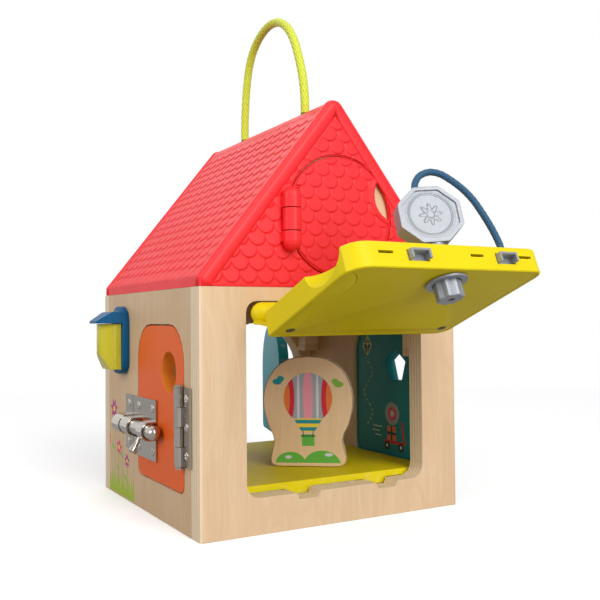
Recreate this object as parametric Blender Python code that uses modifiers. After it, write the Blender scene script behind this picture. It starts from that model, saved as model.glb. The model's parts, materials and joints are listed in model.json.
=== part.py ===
"""Wooden lock house toy: a plywood box under a plastic gable roof, with a different
lock or hinge on every door. Metres, +Z up. The origin is the middle of the front
wall's foot, +Y runs from the front to the back and -X is the side with the bolt."""

from math import asin, atan2, cos, pi, radians, sin, tan

import bmesh
import bpy
from mathutils import Matrix, Vector

# Clearances
GAP = 0.0003
RUNNING_GAP = 0.0004
DOOR_GAP = 0.001
OVERRUN = 0.002
WELD = 0.000003

# Facets
ARC_STEPS = 4
ROUND_SIDES = 20
SMALL_SIDES = 12
SCREW_SIDES = 8

# Plywood box
HOUSE_WIDTH = 0.200
HOUSE_DEPTH = 0.200
WALL_HEIGHT = 0.155
FRONT_PLY = 0.014
SIDE_PLY = 0.012
CORNER_ROUND = 0.003
FLOOR_TOP = 0.027
FLOOR_PLY = 0.0044
BLOCK_SIDE = 0.014
ROOF_BLOCK_LENGTH = 0.044
BATTEN_HEIGHT = 0.018
ATTIC_FLOOR_PLY = 0.004

LEFT_X = -HOUSE_WIDTH / 2
RIGHT_X = HOUSE_WIDTH / 2
FRONT_Y = -FRONT_PLY / 2
BACK_Y = FRONT_Y + HOUSE_DEPTH
INNER_FRONT_Y = FRONT_Y + FRONT_PLY
INNER_BACK_Y = BACK_Y - FRONT_PLY
INNER_LEFT_X = LEFT_X + SIDE_PLY
INNER_RIGHT_X = RIGHT_X - SIDE_PLY
FLOOR_UNDER = FLOOR_TOP - FLOOR_PLY

# Front window and its sill
WINDOW_WIDTH = 0.1374
WINDOW_SILL = 0.0228
LINTEL_HEIGHT = 0.0087
WINDOW_TOP = WALL_HEIGHT - LINTEL_HEIGHT
WINDOW_SILL_ROUND = 0.009
WINDOW_TOP_ROUND = 0.0075

# Front door: a flat two-part housing that swings up about a barrel above it
DOOR_OPEN = radians(111.7)
BARREL_RADIUS = 0.007
BARREL_PROUD = 0.0055
BARREL_BELOW_TOP = 0.008
BARREL_HEIGHT = WINDOW_TOP - BARREL_BELOW_TOP
BARREL_END_CLEARANCE = 0.0014
BARREL_MIDDLE = 0.062
AXLE_RADIUS = 0.002
AXLE_LENGTH = 0.120
HOUSING_THICKNESS = 0.015
HOUSING_SET_BACK = 0.0005
HOUSING_BELOW_BARREL = 0.0138
HOUSING_TOP = BARREL_HEIGHT - HOUSING_BELOW_BARREL
HOUSING_SIDE_CLEARANCE = 0.0014
HOUSING_SILL_CLEARANCE = 0.0022
SHELL_WALL = 0.0022
SHELL_EDGE_ROUND = 0.0010
COVER_THICKNESS = 0.0022
FREE_LEFT_ROUND = 0.013
FREE_RIGHT_ROUND = 0.0080
HINGE_LEFT_ROUND = 0.0025
HINGE_RIGHT_ROUND = 0.009
WEB_THICKNESS = 0.0025
WEB_ROOT_ANGLE = radians(21.7)
WEB_FOOT_DEPTH = 0.0085
BRACKET_HEIGHT = 0.0075
BRACKET_WIDTH = 0.044
SCOOP_HALF_LENGTH = 0.0185
SCOOP_DEPTH = 0.0125
SCOOP_FLOOR = 0.0025
SCOOP_ABOVE_FREE_EDGE = 0.0275
CLIP_SLOT_WIDTH = 0.0094
CLIP_SLOT_HEIGHT = 0.0016
CLIP_SLOT_DEPTH = 0.0062
CLIP_SLOT_SHARES = (-0.325, 0.127, 0.391)
COVER_SCREW_INSET_X = 0.0100
COVER_SCREW_INSET_S = 0.0110
BOSS_RADIUS = 0.0042

# Key, lock and latch in the front door
KEY_X = 0.0041
KEY_ABOVE_FREE_EDGE = 0.0152
KEY_REST_TURN = radians(20.0)
KEY_SHAFT_RADIUS = 0.0080
KEY_FLUTES = 8
KEY_FLUTE_DEPTH = 0.0012
KEY_TIP_REACH = 0.0115
KEY_TIP_CHAMFER = 0.0012
KEY_TIP_HOLE_RADIUS = 0.0022
KEY_TIP_HOLE_DEPTH = 0.005
KEY_COLLAR_RADIUS = 0.0105
KEY_COLLAR_THICKNESS = 0.002
KEY_NECK_RADIUS = 0.0052
KEY_HEAD_CENTRE = 0.0245
KEY_HEAD_RADIUS = 0.0190
KEY_HEAD_WIDEN = 1.06
KEY_HEAD_THICKNESS = 0.011
KEY_HEAD_TURN = radians(26.0)
KEY_HEAD_EDGE = 0.0012
KEY_FACE_INSET = 0.0010
KEY_FACE_RIM = 0.0024
KEY_HEAD_CORNERS = 8
LOCK_SLEEVE_RADIUS = 0.0102
LOCK_COLLAR_RADIUS = 0.01225
LOCK_COLLAR_THICKNESS = 0.0015
LOCK_ARM_THICKNESS = 0.0025
LOCK_ARM_WALL = 0.0016
LATCH_TURN = radians(90.0)
LATCH_TRAVEL = 0.0040
LATCH_PIN_RADIUS = 0.0015
LATCH_PIN_NEAR = 0.0135
TONGUE_WIDTH = 0.0130
TONGUE_THICKNESS = 0.0056
TONGUE_ABOVE_INNER = 0.0046
TONGUE_WALL = 0.0013
TONGUE_REACH = 0.0037
TONGUE_LEFT = -0.0240
TONGUE_RIGHT = 0.0380
TONGUE_HOLLOW_DEPTH = 0.006
LATCH_ARM_WIDTH = 0.008
LATCH_BAR_WIDTH = 0.007
NOTCH_WIDTH = 0.0180
NOTCH_DEPTH = 0.0040
NOTCH_SLOPE = 0.0020

# Tether from the key's head to the front door
TETHER_RADIUS = 0.0021

# Side doors: left, orange, and right, teal
SIDE_DOOR_NEAR = 0.0262
SIDE_DOOR_WIDTH = 0.088
SIDE_DOOR_FOOT = 0.0248
SIDE_DOOR_TOP = 0.131
SIDE_DOOR_PLY = 0.0096
SIDE_DOOR_TOP_ROUND = 0.024
SIDE_DOOR_FOOT_ROUND = 0.006
WOOD_EDGE_ROUND = 0.0012
FINGER_HOLE_RADIUS = 0.0135
FINGER_HOLE_NEAR = 0.0525
FINGER_HOLE_HEIGHT = 0.1004
PENTAGON_RADIUS = 0.0138
PENTAGON_NEAR = 0.0605
PENTAGON_HEIGHT = 0.097

# Back door in its arched doorway
BACK_DOOR_CENTRE_SHARE = 0.17
BACK_DOOR_CENTRE_X = HOUSE_WIDTH * BACK_DOOR_CENTRE_SHARE
BACK_DOOR_OPEN = radians(107.0)

# Butt hinges
HINGE_LENGTH = 0.0497
HINGE_KNUCKLES = 4
HINGE_SHEET = 0.0013
HINGE_LEAF_WIDTH = 0.0135
HINGE_KNUCKLE_RADIUS = 0.0030
HINGE_PIN_RADIUS = 0.0012
HINGE_KNUCKLE_GAP = 0.0004
HINGE_FOOT = 0.0427
HINGE_SCREW_EDGE = 0.0072
HINGE_SCREW_REACH = 0.0078
HINGE_LEAF_ROUND = 0.0015

# Countersunk screws
SCREW_HEAD_RADIUS = 0.0029
SCREW_HEAD_HEIGHT = 0.0013
SCREW_DOME = 0.0004
SCREW_SHANK_RADIUS = 0.0014
SCREW_SHANK_LENGTH = 0.0070

# Barrel bolt on the left door
BOLT_SHEET = 0.0011
BOLT_NEAR = 0.074
BOLT_FAR = 0.1216
BOLT_FOOT = 0.0380
BOLT_TOP = 0.0800
BOLT_AXIS_HEIGHT = 0.0590
ROD_RADIUS = 0.0050
ROD_LENGTH = 0.0610
ROD_SHOT_END = 0.1355
BOLT_TRAVEL = 0.0138
BOLT_GAP_NEAR = 0.0845
BOLT_GAP_FAR = 0.1055
HANDLE_FROM_END = 0.0350
HANDLE_HANG = radians(29.0)
HANDLE_PIN_RADIUS = 0.0014
HANDLE_RING_HALF = 0.0020
HANDLE_LENGTH = 0.0172
HANDLE_FLARE_RADIUS = 0.0033
HANDLE_FLARE_LENGTH = 0.0060
HANDLE_SEAT = 0.0022
BOLT_SCREW_EDGE = 0.0062
KEEPER_CLEAR = 0.0060
KEEPER_NEAR = 0.1224
KEEPER_FAR = 0.1390
KEEPER_FOOT = 0.0400
KEEPER_PLAY = 0.0009

# Wall lamp
LAMP_FROM_BACK = 0.066
LAMP_NEAR = HOUSE_DEPTH - LAMP_FROM_BACK
LAMP_WIDTH = 0.028
LAMP_FOOT = 0.0946
LAMP_TOP = 0.1454
LAMP_PLATE = 0.0050
LAMP_TOP_ROUND = 0.0125
LAMP_FOOT_ROUND = 0.0100
LAMP_HOOD_TOP = 0.1412
LAMP_HOOD_TIP = 0.1335
LAMP_HOOD_DEPTH = 0.0235
LAMP_HOOD_FLAT = 0.0125
LAMP_HOOD_LIP = 0.0018
LAMP_HOOD_WIDTH = 0.0270
LENS_TOP = 0.1313
LENS_FOOT = 0.0982
LENS_RADIUS = 0.0110
LENS_DEPTH = 0.0200
LENS_SLANT_HEIGHT = 0.0128
LENS_SLANT_DEPTH = 0.0070
LENS_WALL = 0.0016

# Roof
ROOF_PEAK = 0.2815
ROOF_FRONT_INSET = 0.002
ROOF_SIDE_INSET = 0.001
ROOF_EAVE_LIP = 0.002
ROOF_RIDGE_ROUND = 0.006
ROOF_VERGE_ROUND = 0.003
ROOF_WALL = 0.0028
GABLE_WALL = 0.0032
PANEL_RECESS = 0.0008
PANEL_BORDER = 0.011
COURSE_PITCH = 0.0085
COURSE_SINK = 0.0004
COURSE_STEP = 0.0007
COURSE_FROM_EAVE = 0.0040
COURSE_FROM_RIDGE = 0.0125
ATTIC_PANEL_PLY = 0.0085
ATTIC_PANEL_CLEARANCE = 0.0010

# Round attic door
ATTIC_DOOR_X = 0.003
ATTIC_DOOR_Z = 0.203
ATTIC_DOOR_RADIUS = 0.0403
ATTIC_DOOR_CLEARANCE = 0.0008
ATTIC_HOLE_RADIUS = 0.029
CRESCENT_RADIUS = 0.0175
CRESCENT_REACH = 0.0100
CRESCENT_ANGLE = radians(20.0)
CRESCENT_RIM = 0.0018
CRESCENT_RIM_HEIGHT = 0.0012
CAPSULE_X = -0.0363
CAPSULE_RADIUS = 0.0062
CAPSULE_PROUD = 0.0040
CAPSULE_BELOW_CENTRE = 0.0246
CAPSULE_FOOT = ATTIC_DOOR_Z - CAPSULE_BELOW_CENTRE
CAPSULE_LOW_LENGTH = 0.0130
CAPSULE_MIDDLE_LENGTH = 0.0148
CAPSULE_HIGH_LENGTH = 0.0141
CAPSULE_SPLIT_LOW = CAPSULE_FOOT + CAPSULE_LOW_LENGTH
CAPSULE_SPLIT_HIGH = CAPSULE_SPLIT_LOW + CAPSULE_MIDDLE_LENGTH
CAPSULE_TOP = CAPSULE_SPLIT_HIGH + CAPSULE_HIGH_LENGTH
CAPSULE_PIN_RADIUS = 0.0016
CAPSULE_SLOT_REACH = 0.0075
SADDLE_INSET = 0.0015

# Rope handle through the ridge
ROPE_RADIUS = 0.0032
ROPE_NEAR = 0.0425
ROPE_FAR = 0.1405
KNOT_RADIUS = 0.0062
KNOT_LENGTH = 0.0120

# Figurine that stands on the floor
FIGURINE_X = 0.0082
FIGURINE_NEAR = 0.0560
FIGURINE_TURN = radians(-36.0)
FIGURINE_HEIGHT = 0.0802
FIGURINE_THICKNESS = 0.0110
FIGURINE_HEAD_WIDTH = 0.0660
FIGURINE_WAIST_WIDTH = 0.0500
FIGURINE_FOOT_WIDTH = 0.0552
FIGURINE_WAIST_HEIGHT = 0.0185
FIGURINE_HEAD_HEIGHT = 0.0475
FIGURINE_EDGE_ROUND = 0.0010

# Hook and eye on the right door; the hook hangs free on its screw
WIRE_RADIUS = 0.0012
HOOK_PIVOT_NEAR = 0.1330
HOOK_LENGTH = 0.0290
HOOK_HEIGHT = 0.0780
HOOK_TIP = 0.0080
HOOK_HANG = radians(90.0)
EYE_RING_RADIUS = 0.0034
EYE_STEM = 0.0017
HOOK_SCREW_NECK = 0.0016
HOOK_SCREW_HEAD = 0.0034
HOOK_SCREW_HEAD_HEIGHT = 0.0016

# Turn button beside the back door
BUTTON_LENGTH = 0.030
BUTTON_WIDTH = 0.011
BUTTON_THICKNESS = 0.006
BUTTON_CLEAR_OF_DOOR = 0.0065
BUTTON_HEIGHT = 0.078


def clear_scene():
    """Start from an empty scene without closing the file that runs."""
    for obj in list(bpy.data.objects):
        bpy.data.objects.remove(obj, do_unlink=True)


clear_scene()
HOUSE = bpy.data.collections.new("lock_house_toy")
bpy.context.scene.collection.children.link(HOUSE)


def material(name, colour, roughness, metallic=0.0, alpha=1.0):
    """A Principled material in the part's colour."""
    made = bpy.data.materials.new(name)
    made.use_nodes = True
    shader = made.node_tree.nodes["Principled BSDF"]
    shader.inputs["Base Color"].default_value = (*colour, 1.0)
    shader.inputs["Roughness"].default_value = roughness
    shader.inputs["Metallic"].default_value = metallic
    shader.inputs["Alpha"].default_value = alpha
    return made


PLYWOOD = material("plywood", (0.80, 0.62, 0.42), 0.6)
PINE = material("pine", (0.78, 0.60, 0.40), 0.65)
RED_PLASTIC = material("red_plastic", (0.80, 0.03, 0.05), 0.35)
YELLOW_PLASTIC = material("yellow_plastic", (0.72, 0.68, 0.02), 0.35)
BLUE_PLASTIC = material("blue_plastic", (0.01, 0.16, 0.38), 0.35)
GREY_PLASTIC = material("grey_plastic", (0.45, 0.46, 0.52), 0.4)
LIME_LENS = material("lime_lens", (0.62, 0.68, 0.03), 0.2, 0.0, 0.6)
FLOOR_PAINT = material("floor_paint", (0.70, 0.68, 0.03), 0.5)
ORANGE_PAINT = material("orange_paint", (0.90, 0.25, 0.05), 0.4)
TEAL_PAINT = material("teal_paint", (0.0, 0.28, 0.36), 0.4)
NICKEL = material("nickel", (0.72, 0.72, 0.74), 0.2, 1.0)
LIME_ROPE = material("lime_rope", (0.50, 0.68, 0.05), 0.8)
BLUE_CORD = material("blue_cord", (0.01, 0.12, 0.30), 0.8)


def bake(obj):
    """Turn a curve, or a mesh with modifiers, into a plain closed mesh object."""
    graph = bpy.context.evaluated_depsgraph_get()
    mesh = bpy.data.meshes.new_from_object(obj.evaluated_get(graph))
    mesh.transform(obj.matrix_world)
    work = bmesh.new()
    work.from_mesh(mesh)
    bmesh.ops.remove_doubles(work, verts=work.verts, dist=WELD)
    bmesh.ops.recalc_face_normals(work, faces=work.faces)
    work.to_mesh(mesh)
    work.free()
    name = obj.name
    bpy.data.objects.remove(obj, do_unlink=True)
    made = bpy.data.objects.new(name, mesh)
    HOUSE.objects.link(made)
    return made


def new_object(name, data):
    """Link a fresh object that holds the given data."""
    obj = bpy.data.objects.new(name, data)
    HOUSE.objects.link(obj)
    return obj


def finish(obj, finish_material, pivot=None, smooth=None):
    """Give a piece its material, its parent on a joint axis, and its shading."""
    obj.data.materials.clear()
    obj.data.materials.append(finish_material)
    if pivot is not None:
        obj.parent = pivot
        obj.matrix_parent_inverse = pivot.matrix_world.inverted()
    if smooth is not None:
        obj.data.shade_smooth()
        obj.data.set_sharp_from_angle(angle=smooth)
    return obj


def joint_pivot(name, point, parent=None):
    """An empty on a joint's axis; it is turned once its pieces are on it."""
    empty = new_object(name, None)
    empty.location = point
    if parent is not None:
        empty.parent = parent
        empty.matrix_parent_inverse = parent.matrix_world.inverted()
    bpy.context.view_layer.update()
    return empty


def combine(target, other, operation):
    """Boolean of two meshes, applied at once; the second one is used up."""
    step = target.modifiers.new("combine", "BOOLEAN")
    step.operation = operation
    step.solver = "EXACT"
    step.object = other
    graph = bpy.context.evaluated_depsgraph_get()
    mesh = bpy.data.meshes.new_from_object(target.evaluated_get(graph))
    target.modifiers.clear()
    work = bmesh.new()
    work.from_mesh(mesh)
    bmesh.ops.remove_doubles(work, verts=work.verts, dist=WELD)
    bmesh.ops.dissolve_degenerate(work, edges=work.edges, dist=WELD)
    work.to_mesh(mesh)
    work.free()
    target.data = mesh
    bpy.data.objects.remove(other, do_unlink=True)
    return target


def cut(target, cutter):
    return combine(target, cutter, "DIFFERENCE")


def join(target, other):
    return combine(target, other, "UNION")


def soften(obj, width, segments=1, angle=radians(50)):
    """Round the sharp edges of a piece."""
    step = obj.modifiers.new("rounded_edges", "BEVEL")
    step.width = width
    step.segments = segments
    step.limit_method = "ANGLE"
    step.angle_limit = angle
    step.harden_normals = False
    return obj


def arc(centre, radius, start, end, steps):
    """Points along an arc, both ends included."""
    points = []
    for k in range(steps + 1):
        angle = start + (end - start) * k / steps
        points.append((centre[0] + radius * cos(angle), centre[1] + radius * sin(angle)))
    return points


def circle(centre, radius, sides=ROUND_SIDES, start=0.0):
    """A closed ring of points."""
    return arc(centre, radius, start, start + 2 * pi, sides)[:-1]


def rounded(corners, steps=ARC_STEPS):
    """Outline through corners (u, v, radius), with an arc in each rounded one."""
    points = []
    for index, (u, v, radius) in enumerate(corners):
        if radius <= 0:
            points.append((u, v))
            continue
        here = Vector((u, v))
        back = (Vector(corners[index - 1][:2]) - here).normalized()
        ahead = (Vector(corners[(index + 1) % len(corners)][:2]) - here).normalized()
        half = back.angle(ahead) / 2
        centre = here + (back + ahead).normalized() * radius / sin(half)
        first = here + back * radius / tan(half) - centre
        last = here + ahead * radius / tan(half) - centre
        start = atan2(first.y, first.x)
        turn = (atan2(last.y, last.x) - start + pi) % (2 * pi) - pi
        points += arc(centre, radius, start, start + turn, steps)
    return points


def box_outline(low_u, high_u, low_v, high_v, radii=(0, 0, 0, 0), steps=ARC_STEPS):
    """Rectangle with its corner radii in the order low-low, high-low, high-high, low-high."""
    corners = [(low_u, low_v, radii[0]), (high_u, low_v, radii[1]),
               (high_u, high_v, radii[2]), (low_u, high_v, radii[3])]
    return rounded(corners, steps)


def slab(name, loops, plane, low, high):
    """A flat outline, with any holes, extruded between two places on the third axis.
    plane is xy, xz or yz, and names what the outline's two values are."""
    curve = bpy.data.curves.new(name, "CURVE")
    curve.dimensions = "2D"
    curve.fill_mode = "BOTH"
    curve.extrude = (high - low) / 2
    for loop in loops:
        spline = curve.splines.new("POLY")
        spline.points.add(len(loop) - 1)
        for point, (u, v) in zip(spline.points, loop):
            point.co = (u, v, 0, 1)
        spline.use_cyclic_u = True
    obj = new_object(name, curve)
    middle = (low + high) / 2
    columns = {"xy": ((1, 0, 0), (0, 1, 0), (0, 0, 1)),
               "xz": ((1, 0, 0), (0, 0, 1), (0, 1, 0)),
               "yz": ((0, 1, 0), (0, 0, 1), (1, 0, 0))}[plane]
    turn = Matrix(columns).transposed().to_4x4()
    bpy.context.view_layer.update()
    obj = bake(obj)
    obj.data.transform(turn @ Matrix.Translation((0, 0, middle)))
    work = bmesh.new()
    work.from_mesh(obj.data)
    bmesh.ops.recalc_face_normals(work, faces=work.faces)
    work.to_mesh(obj.data)
    work.free()
    return obj


def block(name, low, high):
    """A box between two corners, from a unit cube."""
    bpy.ops.mesh.primitive_cube_add(size=1)
    obj = bpy.context.active_object
    obj.name = name
    size = [b - a for a, b in zip(low, high)]
    middle = [(a + b) / 2 for a, b in zip(low, high)]
    obj.data.transform(Matrix.Translation(middle) @ Matrix.Diagonal((*size, 1)))
    for collection in list(obj.users_collection):
        collection.objects.unlink(obj)
    HOUSE.objects.link(obj)
    return obj


def turned(name, profile, base, direction, sides=ROUND_SIDES):
    """A profile of (radius, height) turned about an axis through base. The profile
    runs from the top of the axis, down its outer side, to the bottom of the axis."""
    mesh = bpy.data.meshes.new(name)
    points = [(radius, 0, height) for radius, height in profile]
    mesh.from_pydata(points, [(k, k + 1) for k in range(len(points) - 1)], [])
    obj = new_object(name, mesh)
    step = obj.modifiers.new("turn", "SCREW")
    step.steps = sides
    step.render_steps = sides
    step.use_merge_vertices = True
    step.merge_threshold = WELD
    bpy.context.view_layer.update()
    obj = bake(obj)
    turn = Vector(direction).to_track_quat("Z", "Y").to_matrix().to_4x4()
    obj.data.transform(Matrix.Translation(base) @ turn)
    return obj


def rod(name, start, end, radius, sides=ROUND_SIDES):
    """A plain round bar between two points."""
    reach = Vector(end) - Vector(start)
    profile = [(0, reach.length), (radius, reach.length), (radius, 0), (0, 0)]
    return turned(name, profile, start, reach, sides)


def domed_rod(name, start, end, radius, sides=ROUND_SIDES, both=False):
    """A round bar whose far end, or both ends, are half spheres."""
    reach = Vector(end) - Vector(start)
    steps = ARC_STEPS
    profile = [(radius * sin(k * pi / 2 / steps), reach.length - radius + radius * cos(k * pi / 2 / steps))
               for k in range(steps + 1)]
    if both:
        profile += [(radius * cos(k * pi / 2 / steps), radius - radius * sin(k * pi / 2 / steps))
                    for k in range(steps + 1)]
    else:
        profile += [(radius, 0), (0, 0)]
    return turned(name, profile, start, reach, sides)


def tube(name, route, radius, resolution=2):
    """A cord or wire: a curve with a round bevel and filled caps."""
    curve = bpy.data.curves.new(name, "CURVE")
    curve.dimensions = "3D"
    curve.bevel_depth = radius
    curve.bevel_resolution = resolution
    curve.use_fill_caps = True
    spline = curve.splines.new("POLY")
    spline.points.add(len(route) - 1)
    for point, place in zip(spline.points, route):
        point.co = (*place, 1)
    obj = new_object(name, curve)
    bpy.context.view_layer.update()
    return bake(obj)


def smooth_route(points, count):
    """Evenly spread points on one smooth curve through the given ones: a centripetal
    Catmull-Rom curve, walked in small steps and then sampled by length."""
    points = [Vector(p) for p in points]
    padded = [points[0] * 2 - points[1], *points, points[-1] * 2 - points[-2]]
    fine = []
    steps = 24
    for index in range(1, len(padded) - 2):
        p0, p1, p2, p3 = padded[index - 1:index + 3]
        t0 = 0
        t1 = t0 + (p1 - p0).length ** 0.5
        t2 = t1 + (p2 - p1).length ** 0.5
        t3 = t2 + (p3 - p2).length ** 0.5
        for k in range(steps):
            t = t1 + (t2 - t1) * k / steps
            a1 = p0 * ((t1 - t) / (t1 - t0)) + p1 * ((t - t0) / (t1 - t0))
            a2 = p1 * ((t2 - t) / (t2 - t1)) + p2 * ((t - t1) / (t2 - t1))
            a3 = p2 * ((t3 - t) / (t3 - t2)) + p3 * ((t - t2) / (t3 - t2))
            b1 = a1 * ((t2 - t) / (t2 - t0)) + a2 * ((t - t0) / (t2 - t0))
            b2 = a2 * ((t3 - t) / (t3 - t1)) + a3 * ((t - t1) / (t3 - t1))
            fine.append(b1 * ((t2 - t) / (t2 - t1)) + b2 * ((t - t1) / (t2 - t1)))
    fine.append(points[-1])
    lengths = [0]
    for a, b in zip(fine, fine[1:]):
        lengths.append(lengths[-1] + (b - a).length)
    route = []
    place = 0
    for k in range(count):
        target = lengths[-1] * k / (count - 1)
        while place < len(lengths) - 2 and lengths[place + 1] < target:
            place += 1
        share = (target - lengths[place]) / (lengths[place + 1] - lengths[place])
        route.append(fine[place].lerp(fine[place + 1], share))
    return route


def screw_profile(grow=0.0, length=SCREW_SHANK_LENGTH):
    """Countersunk screw, head at the top; grown, it is the shape of its hole."""
    head = SCREW_HEAD_RADIUS + grow
    shank = SCREW_SHANK_RADIUS + grow
    if grow:
        return [(0, OVERRUN), (head, OVERRUN), (head, 0), (shank, -SCREW_HEAD_HEIGHT - grow),
                (shank, -length - grow), (0, -length - grow)]
    return [(0, SCREW_DOME), (head * 0.6, SCREW_DOME * 0.8), (head, -SCREW_DOME / 2),
            (shank, -SCREW_HEAD_HEIGHT), (shank, -length), (0, -length)]


def fit_screws(plate, places, outward, carrier, length=SCREW_SHANK_LENGTH):
    """Screws seated tight in a plate, with a clear hole for each in what carries it."""
    for place in places:
        cut(carrier, turned("hole", screw_profile(GAP, length), place, outward, SCREW_SIDES))
        join(plate, turned("screw", screw_profile(0.0, length), place, outward, SCREW_SIDES))


def loose_screw(name, place, outward, carriers, length):
    """One screw that what it holds turns on."""
    for carrier in carriers:
        cut(carrier, turned("hole", screw_profile(RUNNING_GAP, length), place, outward, SMALL_SIDES))
    made = turned(name, screw_profile(0.0, length), place, outward, SMALL_SIDES)
    return finish(made, NICKEL, None, radians(40))


def behind(distance):
    """The place on Y at a distance behind the front face."""
    return FRONT_Y + distance


def plywood_walls():
    """Front and back walls run the full width, the side walls stand between them."""
    plan = box_outline(LEFT_X, RIGHT_X, FRONT_Y, INNER_FRONT_Y, (CORNER_ROUND, CORNER_ROUND, 0, 0), 3)
    front = slab("front_wall", [plan], "xy", 0, WALL_HEIGHT)
    half = WINDOW_WIDTH / 2
    window = rounded([(-half, WINDOW_SILL, WINDOW_SILL_ROUND), (half, WINDOW_SILL, WINDOW_SILL_ROUND),
                      (half, WINDOW_TOP, WINDOW_TOP_ROUND), (-half, WINDOW_TOP, WINDOW_TOP_ROUND)])
    cut(front, slab("window", [window], "xz", FRONT_Y - OVERRUN, INNER_FRONT_Y + OVERRUN))
    for place in (TONGUE_LEFT, TONGUE_RIGHT):
        near = place - NOTCH_WIDTH / 2
        far = place + NOTCH_WIDTH / 2
        notch = [(near, WINDOW_SILL + OVERRUN), (near, WINDOW_SILL),
                 (near + NOTCH_SLOPE, WINDOW_SILL - NOTCH_DEPTH),
                 (far - NOTCH_SLOPE, WINDOW_SILL - NOTCH_DEPTH), (far, WINDOW_SILL),
                 (far, WINDOW_SILL + OVERRUN)]
        cut(front, slab("notch", [notch], "xz", FRONT_Y - OVERRUN, INNER_FRONT_Y + OVERRUN))

    plan = box_outline(LEFT_X, RIGHT_X, INNER_BACK_Y, BACK_Y, (0, 0, CORNER_ROUND, CORNER_ROUND), 3)
    back = slab("back_wall", [plan], "xy", 0, WALL_HEIGHT)
    doorway = back_door_outline(DOOR_GAP)
    cut(back, slab("doorway", [doorway], "xz", INNER_BACK_Y - OVERRUN, BACK_Y + OVERRUN))

    sides = []
    for name, low, high in (("left_wall", LEFT_X, INNER_LEFT_X), ("right_wall", INNER_RIGHT_X, RIGHT_X)):
        panel = box_outline(INNER_FRONT_Y + GAP, INNER_BACK_Y - GAP, 0, WALL_HEIGHT)
        sides.append(slab(name, [panel, side_door_outline(DOOR_GAP)], "yz", low, high))
    return front, back, *sides


def side_door_outline(grow=0.0):
    """Side door seen along X: square foot with small corners, large top corners."""
    top = SIDE_DOOR_TOP_ROUND + grow
    foot = SIDE_DOOR_FOOT_ROUND + grow
    return box_outline(behind(SIDE_DOOR_NEAR) - grow, behind(SIDE_DOOR_NEAR + SIDE_DOOR_WIDTH) + grow,
                       SIDE_DOOR_FOOT - grow, SIDE_DOOR_TOP + grow, (foot, foot, top, top), 6)


def back_door_outline(grow=0.0):
    """Back door seen along Y: a half round top as wide as the door."""
    half = SIDE_DOOR_WIDTH / 2 + grow
    spring = SIDE_DOOR_TOP + grow - half
    foot = SIDE_DOOR_FOOT_ROUND + grow
    low = rounded([(BACK_DOOR_CENTRE_X + half, spring, 0), (BACK_DOOR_CENTRE_X - half, spring, 0),
                   (BACK_DOOR_CENTRE_X - half, SIDE_DOOR_FOOT - grow, foot),
                   (BACK_DOOR_CENTRE_X + half, SIDE_DOOR_FOOT - grow, foot)])
    return low[2:] + arc((BACK_DOOR_CENTRE_X, spring), half, 0, pi, 16)


def floors_and_blocks():
    """Painted floor board, which stops short of the closed front door, attic floor, and
    the glued blocks that carry them."""
    floor_front = FRONT_Y + HOUSING_SET_BACK + HOUSING_THICKNESS + DOOR_GAP
    floor = block("floor_board", (INNER_LEFT_X + GAP, floor_front, FLOOR_UNDER),
                  (INNER_RIGHT_X - GAP, INNER_BACK_Y - GAP, FLOOR_TOP))
    finish(floor, FLOOR_PAINT)
    attic_under = WALL_HEIGHT - ATTIC_FLOOR_PLY
    attic = block("attic_floor", (INNER_LEFT_X + GAP, INNER_FRONT_Y + GAP, attic_under),
                  (INNER_RIGHT_X - GAP, INNER_BACK_Y - GAP, WALL_HEIGHT))
    finish(attic, PLYWOOD)
    corners = (("front_left", 1, 1), ("front_right", -1, 1), ("back_left", 1, -1), ("back_right", -1, -1))
    for corner, way_x, way_y in corners:
        x = (INNER_LEFT_X if way_x > 0 else INNER_RIGHT_X) + way_x * GAP
        y = (INNER_FRONT_Y if way_y > 0 else INNER_BACK_Y) + way_y * GAP
        far_x = x + way_x * BLOCK_SIDE
        far_y = y + way_y * BLOCK_SIDE
        piece = block("roof_block_" + corner,
                      (min(x, far_x), min(y, far_y), attic_under - GAP - ROOF_BLOCK_LENGTH),
                      (max(x, far_x), max(y, far_y), attic_under - GAP))
        finish(piece, PINE)
    for side, x, way in (("left", INNER_LEFT_X, 1), ("right", INNER_RIGHT_X, -1)):
        low, high = sorted((x + way * GAP, x + way * (GAP + BLOCK_SIDE)))
        batten = block("floor_batten_" + side, (low, INNER_FRONT_Y + GAP, FLOOR_UNDER - GAP - BATTEN_HEIGHT),
                       (high, INNER_BACK_Y - GAP, FLOOR_UNDER - GAP))
        finish(batten, PINE)
    return floor, attic


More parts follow.
